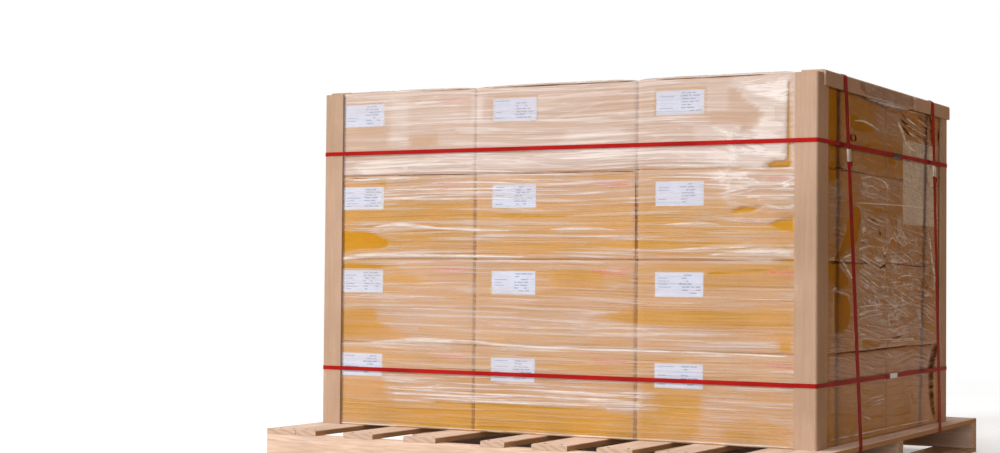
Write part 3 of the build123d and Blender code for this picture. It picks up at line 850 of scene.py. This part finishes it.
def grid_lines(low, high, count, joints):
    """Even lines from low to high, with more of them beside each joint and at both ends."""
    beside_joint = [step * MM for step in (-6, -3, -1.2, 1.2, 3, 6)]
    beside_end = [step * MM for step in (1.2, 2.6, 5.0)]
    lines = list(np.linspace(low, high, count + 1))
    lines += [joint + step for joint in joints for step in beside_joint if low < joint + step < high]
    lines += [low + step for step in beside_end] + [high - step for step in beside_end]
    lines = np.array(sorted(lines))
    lines = lines[np.concatenate(([True], np.diff(lines) > GRID_STEP_LEAST))]
    lines[-1] = high
    return lines


def nearest_on(u, v, start, end):
    """The share along a line at which each place comes nearest, and its distance from there."""
    du, dv = end[0] - start[0], end[1] - start[1]
    share = np.clip(((u - start[0]) * du + (v - start[1]) * dv) / (du * du + dv * dv), 0, 1)
    return share, np.hypot(u - start[0] - share * du, v - start[1] - share * dv)


def depth_in(u, v, outline):
    """Distance to an outline's edge, positive inside it."""
    nearest = np.full(u.shape, FAR)
    within = np.zeros(u.shape, bool)
    for start, end in zip(outline, outline[1:] + outline[:1]):
        nearest = np.minimum(nearest, nearest_on(u, v, start, end)[1])
        (au, av), (bu, bv) = start, end
        if av != bv:
            within ^= ((av > v) != (bv > v)) & (u < (bu - au) * (v - av) / (bv - av) + au)
    return np.where(within, nearest, -nearest)


def depth_in_stroke(u, v, points):
    """Distance to a stroke's edge, positive inside it."""
    deepest = np.full(u.shape, -FAR)
    for start, end in zip(points, points[1:]):
        share, gap = nearest_on(u, v, start, end)
        deepest = np.maximum(deepest, start[2] + (end[2] - start[2]) * share - gap)
    return deepest


def share_in(u, v, outline, soft):
    """1 inside an outline and 0 outside, over an edge that is soft to both sides."""
    return smooth_step(depth_in(u, v, outline), -soft, soft)


def most_in(u, v, regions):
    """The largest amount of the regions that each place is in."""
    most = np.zeros(u.shape)
    for amount, soft, outline in regions:
        most = np.maximum(most, amount * share_in(u, v, outline, soft))
    return most


def paint(side, u, v, tones=(), cling=(), cling_strokes=(), crinkles=(), ambers=()):
    """The film's painted fields over one side, by name."""
    u, v = u * METRE, v * METRE
    haze, streaky = [np.full(u.shape, plain) for plain in PLAIN_TONES[side]]
    for haze_here, streaky_here, soft, outline in tones:
        share = share_in(u, v, outline, soft)
        haze = haze + (haze_here - haze) * share
        streaky = streaky + (streaky_here - streaky) * share
    depth = np.full(u.shape, -FAR)
    for outline in cling:
        depth = np.maximum(depth, depth_in(u, v, outline))
    for points in cling_strokes:
        depth = np.maximum(depth, depth_in_stroke(u, v, points))
    amber = AMBER_RIM * smooth_step(depth, -AMBER_REACH, 0)
    for amount, soft, outline in ambers:
        aim = np.maximum(amount, amber) if amount > AMBER_CLEARED else amount
        amber = amber + (aim - amber) * share_in(u, v, outline, soft)
    return {"amber": amber, "haze": haze, "streaky": streaky, "crinkle": most_in(u, v, crinkles),
            "cling": np.clip(depth / METRE, -FIELD_LIMIT, FIELD_LIMIT)}


def seam(value, joint, half_width):
    """1 at a joint, falling off to both sides."""
    return np.exp(-((value - joint) / half_width) ** 2)


def layer_seams(z, half_width):
    """1 at each joint between two layers of cartons."""
    return sum(seam(z, joint, half_width) for joint in layer_joints)


def front_relief(x, z):
    """How far the film stands out from its plane on the front, in millimetres."""
    slack = value_noise(x * 3.2, z * 34, 11) - 0.5
    ripple = value_noise(x * 7 + 4, z * 80, 12) - 0.5
    # The doubled fold under the upper strap: a raised band with a groove below it
    fold_low = 0.634 + 0.002 * np.sin(x * 9)
    along_fold = smooth_step(x, -0.53, -0.40) * (1 - smooth_step(x, 0.33, 0.42))
    fold = 1.7 * seam(z, fold_low + 0.016, 0.012) - 1.2 * seam(z, fold_low - 0.004, 0.004)
    return 1.3 * slack + 0.7 * ripple + along_fold * fold - 0.9 * layer_seams(z, 0.0035)


def right_relief(y, z):
    """How far it stands out on the right side: leaning creases, and a fan of folds under the joint
    of the edge boards."""
    lean = 0.22
    along = y * math.cos(lean) - z * math.sin(lean)
    across = y * math.sin(lean) + z * math.cos(lean)
    ridge = 1 - 2 * np.abs(value_noise(along * 7, across * 42, 31) - 0.5)
    creases = 2.6 * (ridge ** 3 - 0.35) * value_noise(y * 9, z * 9, 33)
    creases = creases + 1.3 * (value_noise(along * 15, across * 85, 32) - 0.5)
    relief = (0.35 + 0.65 * most_in(y * METRE, z * METRE, RIGHT_CRINKLE)) * creases
    angle = np.arctan2(FAN_TIP[1] - z, y - FAN_TIP[0])
    reach = np.hypot(FAN_TIP[1] - z, y - FAN_TIP[0])
    fan = np.sin(angle * 44 + 4 * value_noise(reach * 14, angle * 3, 34))
    fan_share = smooth_step(depth_in(y * METRE, z * METRE, RIGHT_FAN), -10, 14)
    return relief * (1 - 0.7 * fan_share) + 2.2 * fan * fan_share - 0.9 * layer_seams(z, 0.004)


def plain_relief(u, v, seed):
    """How far it stands out on the unseen sides and the top."""
    slack = value_noise(u * 4, v * 26, seed) - 0.5
    return 1.6 * slack + 0.9 * (value_noise(u * 12, v * 60, seed + 1) - 0.5)


def joint_dips(u, joints):
    """How far the film sinks in between the cartons."""
    return JOINT_DIP * sum(seam(u, joint, 4 * MM) for joint in joints)


def dome(x, y):
    """Each top carton stands a little proud in its middle."""
    rise = np.abs(y - row_joint) / DOME_SLOPE
    for joint in column_joints:
        rise = np.minimum(rise, np.abs(x - joint) / DOME_SLOPE)
    rise = np.minimum(rise, 0.25 + np.minimum(x - film_low.x, film_high.x - x) / 0.12)
    rise = np.clip(rise, 0, 1)
    return DOME_RISE * rise * (2 - rise)


def wrap_place(side, x, y, z):
    """Flat coordinates along and across the film's streaks, which cross the top aslant."""
    if side == "top":
        return (x * 0.8 + y * 0.6) * 1.5, 5 + y * 0.8 - x * 0.6
    u = x if side in ("front", "back") else y
    lean, shorten, warp, shift = STREAKS[side]
    swing = warp * (value_noise(u * 4 + shift, z * 7 + shift, 71) - 0.5)
    return (shorten * (u * math.cos(lean) - z * math.sin(lean)),
            z * math.cos(lean) + u * math.sin(lean) + swing + shift)


def film_grid(low, high):
    """The points and faces of a box without a bottom, and the name of the side each face is on."""
    xs = grid_lines(low[0], high[0], FILM_CELLS_X, column_joints)
    ys = grid_lines(low[1], high[1], FILM_CELLS_Y, [row_joint])
    zs = grid_lines(low[2], high[2], FILM_CELLS_Z, layer_joints)
    nx, ny, nz = len(xs) - 1, len(ys) - 1, len(zs) - 1
    ring = [(i, 0) for i in range(nx)] + [(nx, j) for j in range(ny)]
    ring += [(i, ny) for i in range(nx, 0, -1)] + [(0, j) for j in range(ny, 0, -1)]
    place_in_ring = {cell: n for n, cell in enumerate(ring)}
    count = len(ring)
    points = [(xs[i], ys[j], z) for z in zs for i, j in ring]
    points += [(xs[i], ys[j], high[2]) for j in range(1, ny) for i in range(1, nx)]

    def top_point(i, j):
        if (i, j) in place_in_ring:
            return nz * count + place_in_ring[(i, j)]
        return (nz + 1) * count + (j - 1) * (nx - 1) + i - 1

    faces, sides = [], []
    for level in range(nz):
        for n in range(count):
            m = (n + 1) % count
            (i, j), (k, l) = ring[n], ring[m]
            faces.append([level * count + n, level * count + m,
                          (level + 1) * count + m, (level + 1) * count + n])
            sides.append("front" if j == l == 0 else "back" if j == l == ny
                         else "right" if i == k == nx else "left")
    for j in range(ny):
        for i in range(nx):
            faces.append([top_point(i, j), top_point(i + 1, j), top_point(i + 1, j + 1), top_point(i, j + 1)])
            sides.append("top")
    return np.array(points), np.array(faces), np.array(sides)


def film_relief(points, on, from_edge_x, from_edge_y, top_z):
    """How far each point of the film stands out from its plain side, in metres."""
    x, y, z = points.T
    relief = np.zeros(len(points))
    # Loose film also hangs a little off the cartons all over.
    for side, stand_out in (("front", front_relief(x, z) + 0.6),
                            ("right", right_relief(y, z) + 0.8),
                            ("back", plain_relief(x, z, 41) + 0.6),
                            ("left", plain_relief(y * 2, z, 43) + 0.6),
                            ("top", 0.6 * plain_relief(x * 3 + y * 2, y - x, 45))):
        relief = np.where(on[side], stand_out * MM, relief)

    # Under the angle boards and along the rims the film lies flat.
    on_long, on_short = on["front"] | on["back"], on["right"] | on["left"]
    rim = smooth_step(top_z - z, *LOOSE_BELOW_RIM)
    loose = np.where(on_short, smooth_step(from_edge_y, *LOOSE_ON_SHORT) * rim, 1.0)
    loose = np.where(on_long, smooth_step(from_edge_x, *LOOSE_ON_LONG) * rim, loose)
    loose = np.where(on["top"], smooth_step(from_edge_x, *LOOSE_ON_TOP), loose)
    column_dips, row_dips = joint_dips(x, column_joints), joint_dips(y, [row_joint])
    dips = np.where(on_long, column_dips, 0)
    dips = np.where(on_short, 0.5 * row_dips, dips)
    dips = np.where(on["top"], np.maximum(column_dips, row_dips), dips)
    return np.clip(relief * loose, RELIEF_LOW, RELIEF_HIGH) - dips


def film_fields(points, on):
    """The film's painted fields, by name, at each of its points."""
    x, y, z = points.T
    fields = paint("top", x, y)
    # The unseen back and left side are wrapped like the front, turned round.
    sides = {
        "front": (x, z, FRONT_TONES, FRONT_CLING, FRONT_CLING_STROKES, FRONT_CRINKLE, FRONT_AMBER),
        "back": (-x - 0.016, z, FRONT_TONES, FRONT_CLING[:1] + FRONT_CLING[3:], FRONT_CLING_STROKES,
                 FRONT_CRINKLE, FRONT_AMBER),
        "right": (y, z, RIGHT_TONES, RIGHT_CLING, RIGHT_CLING_STROKES, RIGHT_CRINKLE, RIGHT_AMBER),
        "left": (0.046 - y, z, FRONT_TONES, FRONT_CLING[3:5], (), (), FRONT_AMBER),
    }
    for side, painting in sides.items():
        for name, field in paint(side, *painting).items():
            fields[name] = np.where(on[side], field, fields[name])
    for left, foot, length, height in label_places()[1]:
        right, top = left + length, foot + height
        outline = [(left, foot), (right, foot), (right, top), (left, top)]
        over_label = on["front"] * share_in(x, z, outline, 3 * MM)
        for name, cleared in CLEARED_OVER_LABELS.items():
            fields[name] = fields[name] * (1 - cleared * over_label)
        fields["cling"] = fields["cling"] - 2 * FIELD_LIMIT * over_label

    # The joints between the cartons show darker through it.
    for joint in layer_joints:
        fields["haze"] = fields["haze"] * (1 - 0.75 * seam(z, joint, 1.6 * MM) * ~on["top"])
    for joint in column_joints:
        over_joint = seam(x, joint, 1.6 * MM) * (on["front"] | on["back"])
        fields["haze"] = fields["haze"] * (1 - 0.35 * over_joint)
    fields["haze"] += 0.10 * (value_noise(x * 7 + y * 9, z * 22, 3) - 0.5)
    return fields


def film_piece(material):
    """One sheet over the top and the four sides, welded along its edges."""
    low = np.array(film_low) + np.array((FILM_INSET, FILM_INSET, 0))
    high = np.array(film_high) - FILM_INSET
    points, faces, sides = film_grid(low, high)
    x, y, z = points.T
    places = np.zeros((len(faces), 4, 2))
    for name in ("front", "right", "back", "left", "top"):
        chosen = sides == name
        u, v = wrap_place(name, *points[faces[chosen]].transpose(2, 0, 1))
        places[chosen, :, 0], places[chosen, :, 1] = u, v

    # Round the edges, then push each point out along its normal.
    core_low, core_high = low + FILM_EDGE_RADIUS, high - FILM_EDGE_RADIUS
    core_low[2] = low[2]
    core = np.clip(points, core_low, core_high)
    normal = points - core
    normal /= np.maximum(np.linalg.norm(normal, axis=1, keepdims=True), 1e-9)
    on = {"front": normal[:, 1] < -0.7, "back": normal[:, 1] > 0.7,
          "right": normal[:, 0] > 0.7, "left": normal[:, 0] < -0.7, "top": normal[:, 2] > 0.7}
    from_edge_x = np.minimum(x - low[0], high[0] - x)
    from_edge_y = np.minimum(y - low[1], high[1] - y)
    relief = film_relief(points, on, from_edge_x, from_edge_y, high[2])
    moved = core + normal * (FILM_EDGE_RADIUS + relief[:, None])

    # The top bulges over the cartons, and the hem waves along the deck.
    lift = dome(x, y) * smooth_step(z, high[2] - DOME_REACH, high[2]) * smooth_step(from_edge_x, 0.02, 0.06)
    moved[:, 2] += lift * np.where(on["top"], smooth_step(from_edge_x, 0.03, 0.07), 1.0)
    hem = 1 - smooth_step(z, low[2], low[2] + HEM_REACH)
    moved[:, 2] += hem * HEM_RISE * value_noise(x * 14 + 2, y * 14, 61)

    piece = add_piece("stretch_wrap", moved, faces.tolist(), material, smooth=True)
    piece.data.uv_layers.new(name="wrap").data.foreach_set("uv", places.astype(np.float32).ravel())
    write_fields(piece, film_fields(points, on))
    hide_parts("stretch_film")
    return piece


# Folds of the film with painted highlights and painted shade, laid on its surface, and its loose lap

FOLD_SPACING = 5 * MM
FOLD_HALF_LEAST = 0.5 * MM
FOLD_PROUD = 0.25 * MM
FOLD_RIDGE = 0.5 * MM
# Places across a fold, from one edge to the other, and how strongly it shows there
FOLD_PROFILE = ((-1.0, 0.0), (-0.5, 0.7), (0.0, 1.0), (0.5, 0.7), (1.0, 0.0))


def smooth_path(points, widen):
    """A smooth run of places through a stroke's points, each with its half width, in metres."""
    knots = np.array(points) / METRE
    knots = np.vstack((2 * knots[0] - knots[1], knots, 2 * knots[-1] - knots[-2]))
    runs = []
    for before, start, end, after in zip(knots, knots[1:], knots[2:], knots[3:]):
        steps = max(2, int(np.hypot(*(end - start)[:2]) / FOLD_SPACING))
        t = np.arange(steps)[:, None] / steps
        bend = 2 * before - 5 * start + 4 * end - after
        twist = 3 * start - before - 3 * end + after
        runs.append(0.5 * (2 * start + (end - before) * t + bend * t ** 2 + twist * t ** 3))
    runs.append(knots[-2:-1])
    path = np.vstack(runs)
    path[:, 2] = np.maximum(path[:, 2] * widen, FOLD_HALF_LEAST)
    return path


def over_film(film_tree, side, u, z, rise):
    """The point that stands out from the film over a place on its front or its right side."""
    if side == "front":
        hit = film_tree.ray_cast(Vector((u, film_low.y - 0.1, z)), Vector((0, 1, 0)))[0]
        return u, (hit.y if hit else film_low.y) - rise, z
    hit = film_tree.ray_cast(Vector((film_high.x + 0.1, u, z)), Vector((-1, 0, 0)))[0]
    return (hit.x if hit else film_high.x) + rise, u, z


def film_folds(name, wrap, sides, material, ridge):
    """Thin strips that follow the film's surface along each side's strokes."""
    film_tree = BVHTree.FromPolygons([v.co for v in wrap.data.vertices],
                                     [list(p.vertices) for p in wrap.data.polygons])
    vertices, faces, fades = [], [], []
    for side, strokes, widen, strength in sides:
        for points in strokes:
            path = smooth_path(points, widen)
            along = np.gradient(path[:, :2], axis=0)
            along /= np.maximum(np.linalg.norm(along, axis=1, keepdims=True), 1e-9)
            last = len(path) - 1
            faces += grid_faces(len(vertices), last, len(FOLD_PROFILE) - 1)
            for n, (u, v, half) in enumerate(path):
                taper = min(1.0, (n + 0.15) / 3, (last - n + 0.15) / 3)
                for share, fade in FOLD_PROFILE:
                    z = min(v + along[n, 0] * share * half, film_high.z - 1 * MM)
                    rise = FOLD_PROUD + ridge * (1 - share * share) * taper
                    vertices.append(over_film(film_tree, side, u - along[n, 1] * share * half, z, rise))
                    fades.append(fade * taper * strength)
    write_fields(add_piece(name, vertices, faces, material, smooth=True), {"fade": fades})


def film_lap(material):
    """A loose edge of the film that hangs over the long edge board."""
    board_low, board_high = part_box("top_edge_board_long_right")
    across, down = 44, 12
    foot_y, foot_z = np.array(LAP_FOOT).T / METRE
    top = board_high.z - 3 * MM
    vertices = []
    for row in range(down + 1):
        for column in range(across + 1):
            y = foot_y[0] + (foot_y[-1] - foot_y[0]) * column / across
            z = top + (np.interp(y, foot_y, foot_z) - top) * row / down
            fall = smooth_step(board_low.z + 3 * MM - z, 0.0, 8 * MM)
            ripple = 0.9 * MM * value_noise(y * 40, z * 90, 51)
            x = board_high.x + 0.4 * MM - fall * (board_high.x - film_high.x - 3.0 * MM) + ripple
            vertices.append((x, y, z))
    faces = [face[::-1] for face in grid_faces(0, down, across)]
    lap = add_piece("film_lap", vertices, faces, material, smooth=True)
    x, y, z = np.array(vertices).T
    edge = smooth_step(np.minimum(y - foot_y[0], foot_y[-1] - y), 0.0, 40 * MM)
    edge = edge * smooth_step(z - np.interp(y, foot_y, foot_z), 0.0, 16 * MM)
    write_fields(lap, {"haze": 0.22 * edge, "streaky": 0.20 * edge, "crinkle": 0.30 * edge,
                       "cling": np.full(len(edge), -FIELD_LIMIT), "amber": np.zeros(len(edge))})
    layer = lap.data.uv_layers.new(name="wrap")
    for loop in lap.data.loops:
        layer.data[loop.index].uv = wrap_place("right", *vertices[loop.vertex_index])


# Strap ends

CURL_MIDDLE = (-0.213, 0.694)


def add_strip(vertices, faces, centre, half, angle):
    """A cut length of strap, flat on the right side and turned in its plane."""
    start = len(vertices)
    add_box(vertices, faces, [-h for h in half], half)
    for n, (x, y, z) in enumerate(vertices[start:], start):
        vertices[n] = (centre[0] + x, centre[1] + y * math.cos(angle) - z * math.sin(angle),
                       centre[2] + y * math.sin(angle) + z * math.cos(angle))


def strap_ends(material):
    """The cut ends of the straps beside their seals."""
    vertices, faces = [], []
    for name, turn in (("upright_seal_near", 0.16), ("upright_seal_far", -0.10)):
        low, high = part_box(name)
        centre = (high.x - 0.1 * MM, (low.y + high.y) / 2 + 1.5 * MM, low.z - 5 * MM)
        add_strip(vertices, faces, centre, (0.5 * MM, 15 * MM, 5.5 * MM), turn)
    low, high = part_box("level_seal_lower")
    centre = (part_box("level_strap_lower")[1].x + 0.3 * MM, low.y - 14 * MM, (low.z + high.z) / 2)
    add_strip(vertices, faces, centre, (0.4 * MM, 14 * MM, 4.6 * MM), -0.02)
    add_piece("strap_ends", vertices, faces, material)


def strap_curl(material):
    """A strap's end that has curled into a loop, on edge beside the near strap."""
    middle_y, middle_z = CURL_MIDDLE
    half_y, half_z = 16 * MM, 7.5 * MM
    back_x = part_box("level_strap_upper")[1].x - 2.5 * MM
    turns = 28
    vertices, faces = [], []
    for n in range(turns):
        angle = 2 * math.pi * n / turns
        for radius in (1.0, 0.92):
            for depth in (0.0, 3.5 * MM):
                vertices.append((back_x + depth, middle_y + half_y * radius * math.cos(angle),
                                 middle_z + half_z * radius * math.sin(angle)))
        a, b = 4 * n, 4 * ((n + 1) % turns)
        for c, d in ((0, 1), (1, 3), (3, 2), (2, 0)):
            faces.append([a + c, b + c, b + d, a + d])
    add_piece("strap_curl", vertices, faces, material)


# Print on the labels and the cartons

BAR_PROUD = 0.06 * MM
MARK_PROUD = 0.05 * MM


def label_places():
    """The labels' front face, and the lower left corner, length and height of each label."""
    low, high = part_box("carton_labels")
    length = high.x - low.x - (columns - 1) * column_pitch
    height = high.z - low.z - (layers - 1) * layer_pitch
    return low.y, [(low.x + column * column_pitch, low.z + layer * layer_pitch, length, height)
                   for layer in range(layers) for column in range(columns)]


def label_print(material):
    """Rows of short grey bars, with no lettering."""
    front, places = label_places()
    chance = np.random.RandomState(5)
    vertices, faces = [], []

    def bar(left, foot, width, tall):
        add_box(vertices, faces, (left, front - BAR_PROUD, foot), (left + width, front, foot + tall))

    for x, z, length, height in places:
        for row in range(7):
            foot = z + height * (0.86 - row * 0.12)
            left = x + length * (0.50 + 0.06 * chance.rand())
            for _ in range(3):
                width = length * (0.05 + 0.12 * chance.rand())
                if left + width > x + length * 0.95:
                    break
                if chance.rand() > 0.25:
                    bar(left, foot, width, height * 0.045)
                left += width + length * 0.025
            if chance.rand() > 0.45:
                bar(x + length * 0.07, foot, length * (0.10 + 0.25 * chance.rand()), height * 0.03)
    add_piece("label_bars", vertices, faces, material)


def carton_print(material):
    """A plain red row of blocks, with a bar under it, near the upper right of each front carton."""
    front = first_low.y
    chance = np.random.RandomState(12)
    vertices, faces = [], []
    for layer in range(layers):
        for column in range(columns):
            right = first_low.x + (column + 1) * column_pitch - 20 * MM
            top = first_low.z + (layer + 1) * layer_pitch - 19 * MM
            place = right - 80 * MM
            while place < right - 3 * MM:
                width = min(right - place, (4 + 7 * chance.rand()) * MM)
                add_box(vertices, faces, (place, front - MARK_PROUD, top - 7 * MM),
                        (place + width, front, top))
                place += width + 2.5 * MM
            add_box(vertices, faces, (right - 62 * MM, front - MARK_PROUD, top - 12 * MM),
                    (right, front, top - 9.5 * MM))
    add_piece("carton_marks", vertices, faces, material)


# Nails

NAIL_RADIUS = 3.2 * MM
NAIL_HEIGHT_ABOVE = 0.7 * MM
NAIL_HEIGHT_BELOW = 0.4 * MM
NAIL_SIDES = 12


def add_nail(vertices, faces, x, y, base, height):
    """A round head with its rim turned in."""
    start = len(vertices)
    for z, radius in ((base, NAIL_RADIUS), (base + height - 0.2 * MM, NAIL_RADIUS),
                      (base + height, 0.7 * NAIL_RADIUS)):
        for n in range(NAIL_SIDES):
            angle = 2 * math.pi * n / NAIL_SIDES
            vertices.append((x + radius * math.cos(angle), y + radius * math.sin(angle), z))
    for low_ring in (start, start + NAIL_SIDES):
        for n in range(NAIL_SIDES):
            a, b = low_ring + n, low_ring + (n + 1) % NAIL_SIDES
            faces.append([a, b, b + NAIL_SIDES, a + NAIL_SIDES])
    faces.append([start + 2 * NAIL_SIDES + n for n in range(NAIL_SIDES)])
    faces.append([start + n for n in reversed(range(NAIL_SIDES))])


def nail_heads(material):
    """Two heads where each board crosses each stringer, above and below."""
    boards = [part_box(f"deck_board_{n:02d}") for n in range(1, 11)]
    boards_below = [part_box(f"bottom_board_{place}") for place in ("left", "middle", "right")]
    stringers = [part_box(f"stringer_{place}") for place in ("front", "middle", "back")]
    chance = np.random.RandomState(8)
    vertices, faces = [], []
    # The deck's heads stand on its upper face, and those below lie in the lower face.
    for boards_here, face, height in ((boards, 1, NAIL_HEIGHT_ABOVE), (boards_below, 0, NAIL_HEIGHT_BELOW)):
        for board in boards_here:
            for stringer_low, stringer_high in stringers:
                for share in (0.25, 0.75):
                    x = board[0].x + (board[1].x - board[0].x) * share + (chance.rand() - 0.5) * 8 * MM
                    y = (stringer_low.y + stringer_high.y) / 2 + (chance.rand() - 0.5) * 12 * MM
                    add_nail(vertices, faces, x, y, board[face].z, height)
    add_piece("nail_heads", vertices, faces, material)


# Stage and light

WORLD_FILL = 0.06
FLOOR_REACH = 12.0
FLOOR_FADE_START = 1.3
FLOOR_FADE_END = 4.6
FLOOR_GLOW = 0.32
FLOOR_BOUNCE = (0.47, 0.36, 0.27)
FLAG_HEIGHT = 2.4
FLAG_CLOTH = (0.16, 0.085, 0.045)
WARM = (1.0, 0.67, 0.38)
PALE_WARM = (1.0, 0.985, 0.96)


def floor_material():
    """A pale floor that fades into the white surround away from the object."""
    material, tree = new_tree("stage_floor")
    place = object_place(tree)
    tone = ramp(noise(place, 1.5), (0.3, (0.86, 0.86, 0.87)), (0.7, (0.90, 0.90, 0.91)))
    in_view = of_rays(tree, "Camera", "Transmission")
    diffuse = put(tree, "BsdfDiffuse", Color=blend(in_view, FLOOR_BOUNCE, tone))
    glow = put(tree, "Emission", Color=WHITE, Strength=in_view * FLOOR_GLOW)
    distance = put(tree, "VectorMath", place, settings={"operation": "LENGTH"}, output="Value")
    show(put(tree, "MixShader", eased(distance, FLOOR_FADE_START, FLOOR_FADE_END),
             put(tree, "AddShader", diffuse, glow), put(tree, "BsdfTransparent")))
    return material


def make_floor():
    reach = FLOOR_REACH
    corners = [(-reach, -reach, 0), (reach, -reach, 0), (reach, reach, 0), (-reach, reach, 0)]
    new_piece("stage_floor", corners, [(0, 1, 2, 3)], floor_material())


def make_world():
    """A surround that is white where it is seen, and gives little light of its own."""
    world = bpy.data.worlds.new("studio")
    bpy.context.scene.world = world
    world.use_nodes = True
    tree = world.node_tree
    tree.nodes.clear()
    strength = of_rays(tree, "Camera", "Transmission", "Glossy") * (1.0 - WORLD_FILL) + WORLD_FILL
    show(put(tree, "Background", Color=WHITE, Strength=strength), "OutputWorld")


def area_light(name, place, target, size, power, colour=WHITE):
    """A square lamp out of the camera's sight. Only the bounce also shows as a reflection."""
    data = bpy.data.lights.new(name, "AREA")
    data.shape = "SQUARE"
    data.size = size
    data.energy = power
    data.color = colour
    lamp = bpy.data.objects.new(name, data)
    bpy.context.scene.collection.objects.link(lamp)
    lamp.rotation_euler = (Vector(target) - Vector(place)).to_track_quat("-Z", "Y").to_euler()
    lamp.location = place
    lamp.visible_camera = False
    lamp.visible_glossy = name == "bounce"


def make_lights():
    area_light("key", (-8.0, -11.5, 6.0), (0.0, 0.0, 0.4), 3.0, 1420, PALE_WARM)
    area_light("front_fill", (1.3, -10.0, 1.2), (0.0, 0.0, 0.4), 3.5, 410)
    area_light("overhead", (-0.5, -1.5, 5.0), (0.0, 0.0, 0.3), 3.0, 150)
    area_light("back_fill", (-5.0, 9.0, 4.0), (0.0, 0.0, 0.4), 3.5, 520)
    area_light("bounce", (3.6, 1.0, 1.0), (0.5, 0.0, 0.4), 1.4, 46, WARM)


def make_flags():
    """Dark studio panels out of the camera's sight, which keep light off the right side."""
    material, tree = new_tree("stage_flag")
    show(put(tree, "BsdfDiffuse", Color=FLAG_CLOTH))
    for name, (ax, ay), (bx, by) in (("stage_flag_right", (3.0, -0.9), (4.4, 4.2)),
                                     ("stage_flag_back", (4.2, 4.4), (0.9, 5.0))):
        corners = [(ax, ay, 0.0), (bx, by, 0.0), (bx, by, FLAG_HEIGHT), (ax, ay, FLAG_HEIGHT)]
        flag = new_piece(name, corners, [(0, 1, 2, 3)], material)
        flag.visible_camera = False


# Everything together

BEVELLED = ("carton_layer", "deck_board", "stringer", "bottom_board")
BEVEL_WIDTH = 1.0 * MM


def wear(node, material):
    """Gives a CAD node one material."""
    node.data.materials.clear()
    node.data.materials.append(material)


def dress_nodes():
    """Gives every CAD node its material, by the record's slots."""
    finishes = {
        "stringer_timber": timber_material("stringer_timber", WOOD_PALE, WOOD_MID, WOOD_DARK, 0, 0.0),
        "bottom_board_timber": timber_material("bottom_board_timber", WOOD_MID, WOOD_DULL,
                                               WOOD_DULL_DARK, 1, 0.0),
        "deck_board_timber": timber_material("deck_board_timber", WOOD_PALE, WOOD_MID, WOOD_DARK, 1, 0.85),
        "carton_board": carton_material(),
        "label_paper": paper_material("label_paper", (0.69, 0.735, 0.88), 0.10),
        # The sheet's pale blue is painted cool light of the shade it lies in; the sheet itself is white paper
        "sheet_paper": paper_material("sheet_paper", (0.90, 0.94, 1.0), 0.9),
        "angle_board": angle_board_material(),
        "level_strap_band": strap_material("level_strap_band", (0.37, 0.012, 0.010), 0),
        "upright_strap_band": strap_material("upright_strap_band", (0.30, 0.008, 0.005), 2),
        "strap_seal": seal_material("strap_seal", 1.0),
        "film": film_material(),
    }
    for part in frame["record"]["subparts"]:
        wear(frame["nodes"][part["node"]], finishes[part["material_slot"]])
    wear(frame["nodes"]["level_seal_upper"], seal_material("strap_seal_dull", 0.10))
    return finishes


def ease_edges():
    """Rounds the edges of the timber and the cartons a little, as a modifier."""
    for name, node in frame["nodes"].items():
        if name.startswith(BEVELLED):
            bevel = node.modifiers.new("eased", "BEVEL")
            bevel.width = BEVEL_WIDTH
            bevel.segments = 2
            bevel.limit_method = "ANGLE"
            bevel.harden_normals = False


make_camera()
make_world()
make_floor()
make_lights()
make_flags()
finishes = dress_nodes()
ease_edges()
wrap = film_piece(finishes["film"])
# Pleats with painted highlights, and valleys of painted shade
# Each side's strokes, how much wider they are drawn and how strongly they show
film_folds("film_pleats", wrap,
           (("front", FRONT_PLEAT_HIGHLIGHT_STROKES, 1.2, 0.75), ("right", RIGHT_PLEAT_HIGHLIGHT_STROKES, 1.4, 1.0)),
           fold_material("film_pleat", False), FOLD_RIDGE)
film_folds("film_valleys", wrap,
           (("front", FRONT_SHADE_STROKES, 1.25, 1.0), ("right", RIGHT_SHADE_STROKES, 1.25, 1.0)),
           fold_material("film_valley", True), 0.0)
film_lap(finishes["film"])
strap_ends(finishes["upright_strap_band"])
strap_curl(finishes["upright_strap_band"])
label_print(ink_material("label_ink", (0.27, 0.31, 0.42)))
carton_print(ink_material("carton_ink", (0.56, 0.20, 0.15)))
nail_heads(nail_material())

view = bpy.context.scene.view_settings
view.view_transform = "Standard"
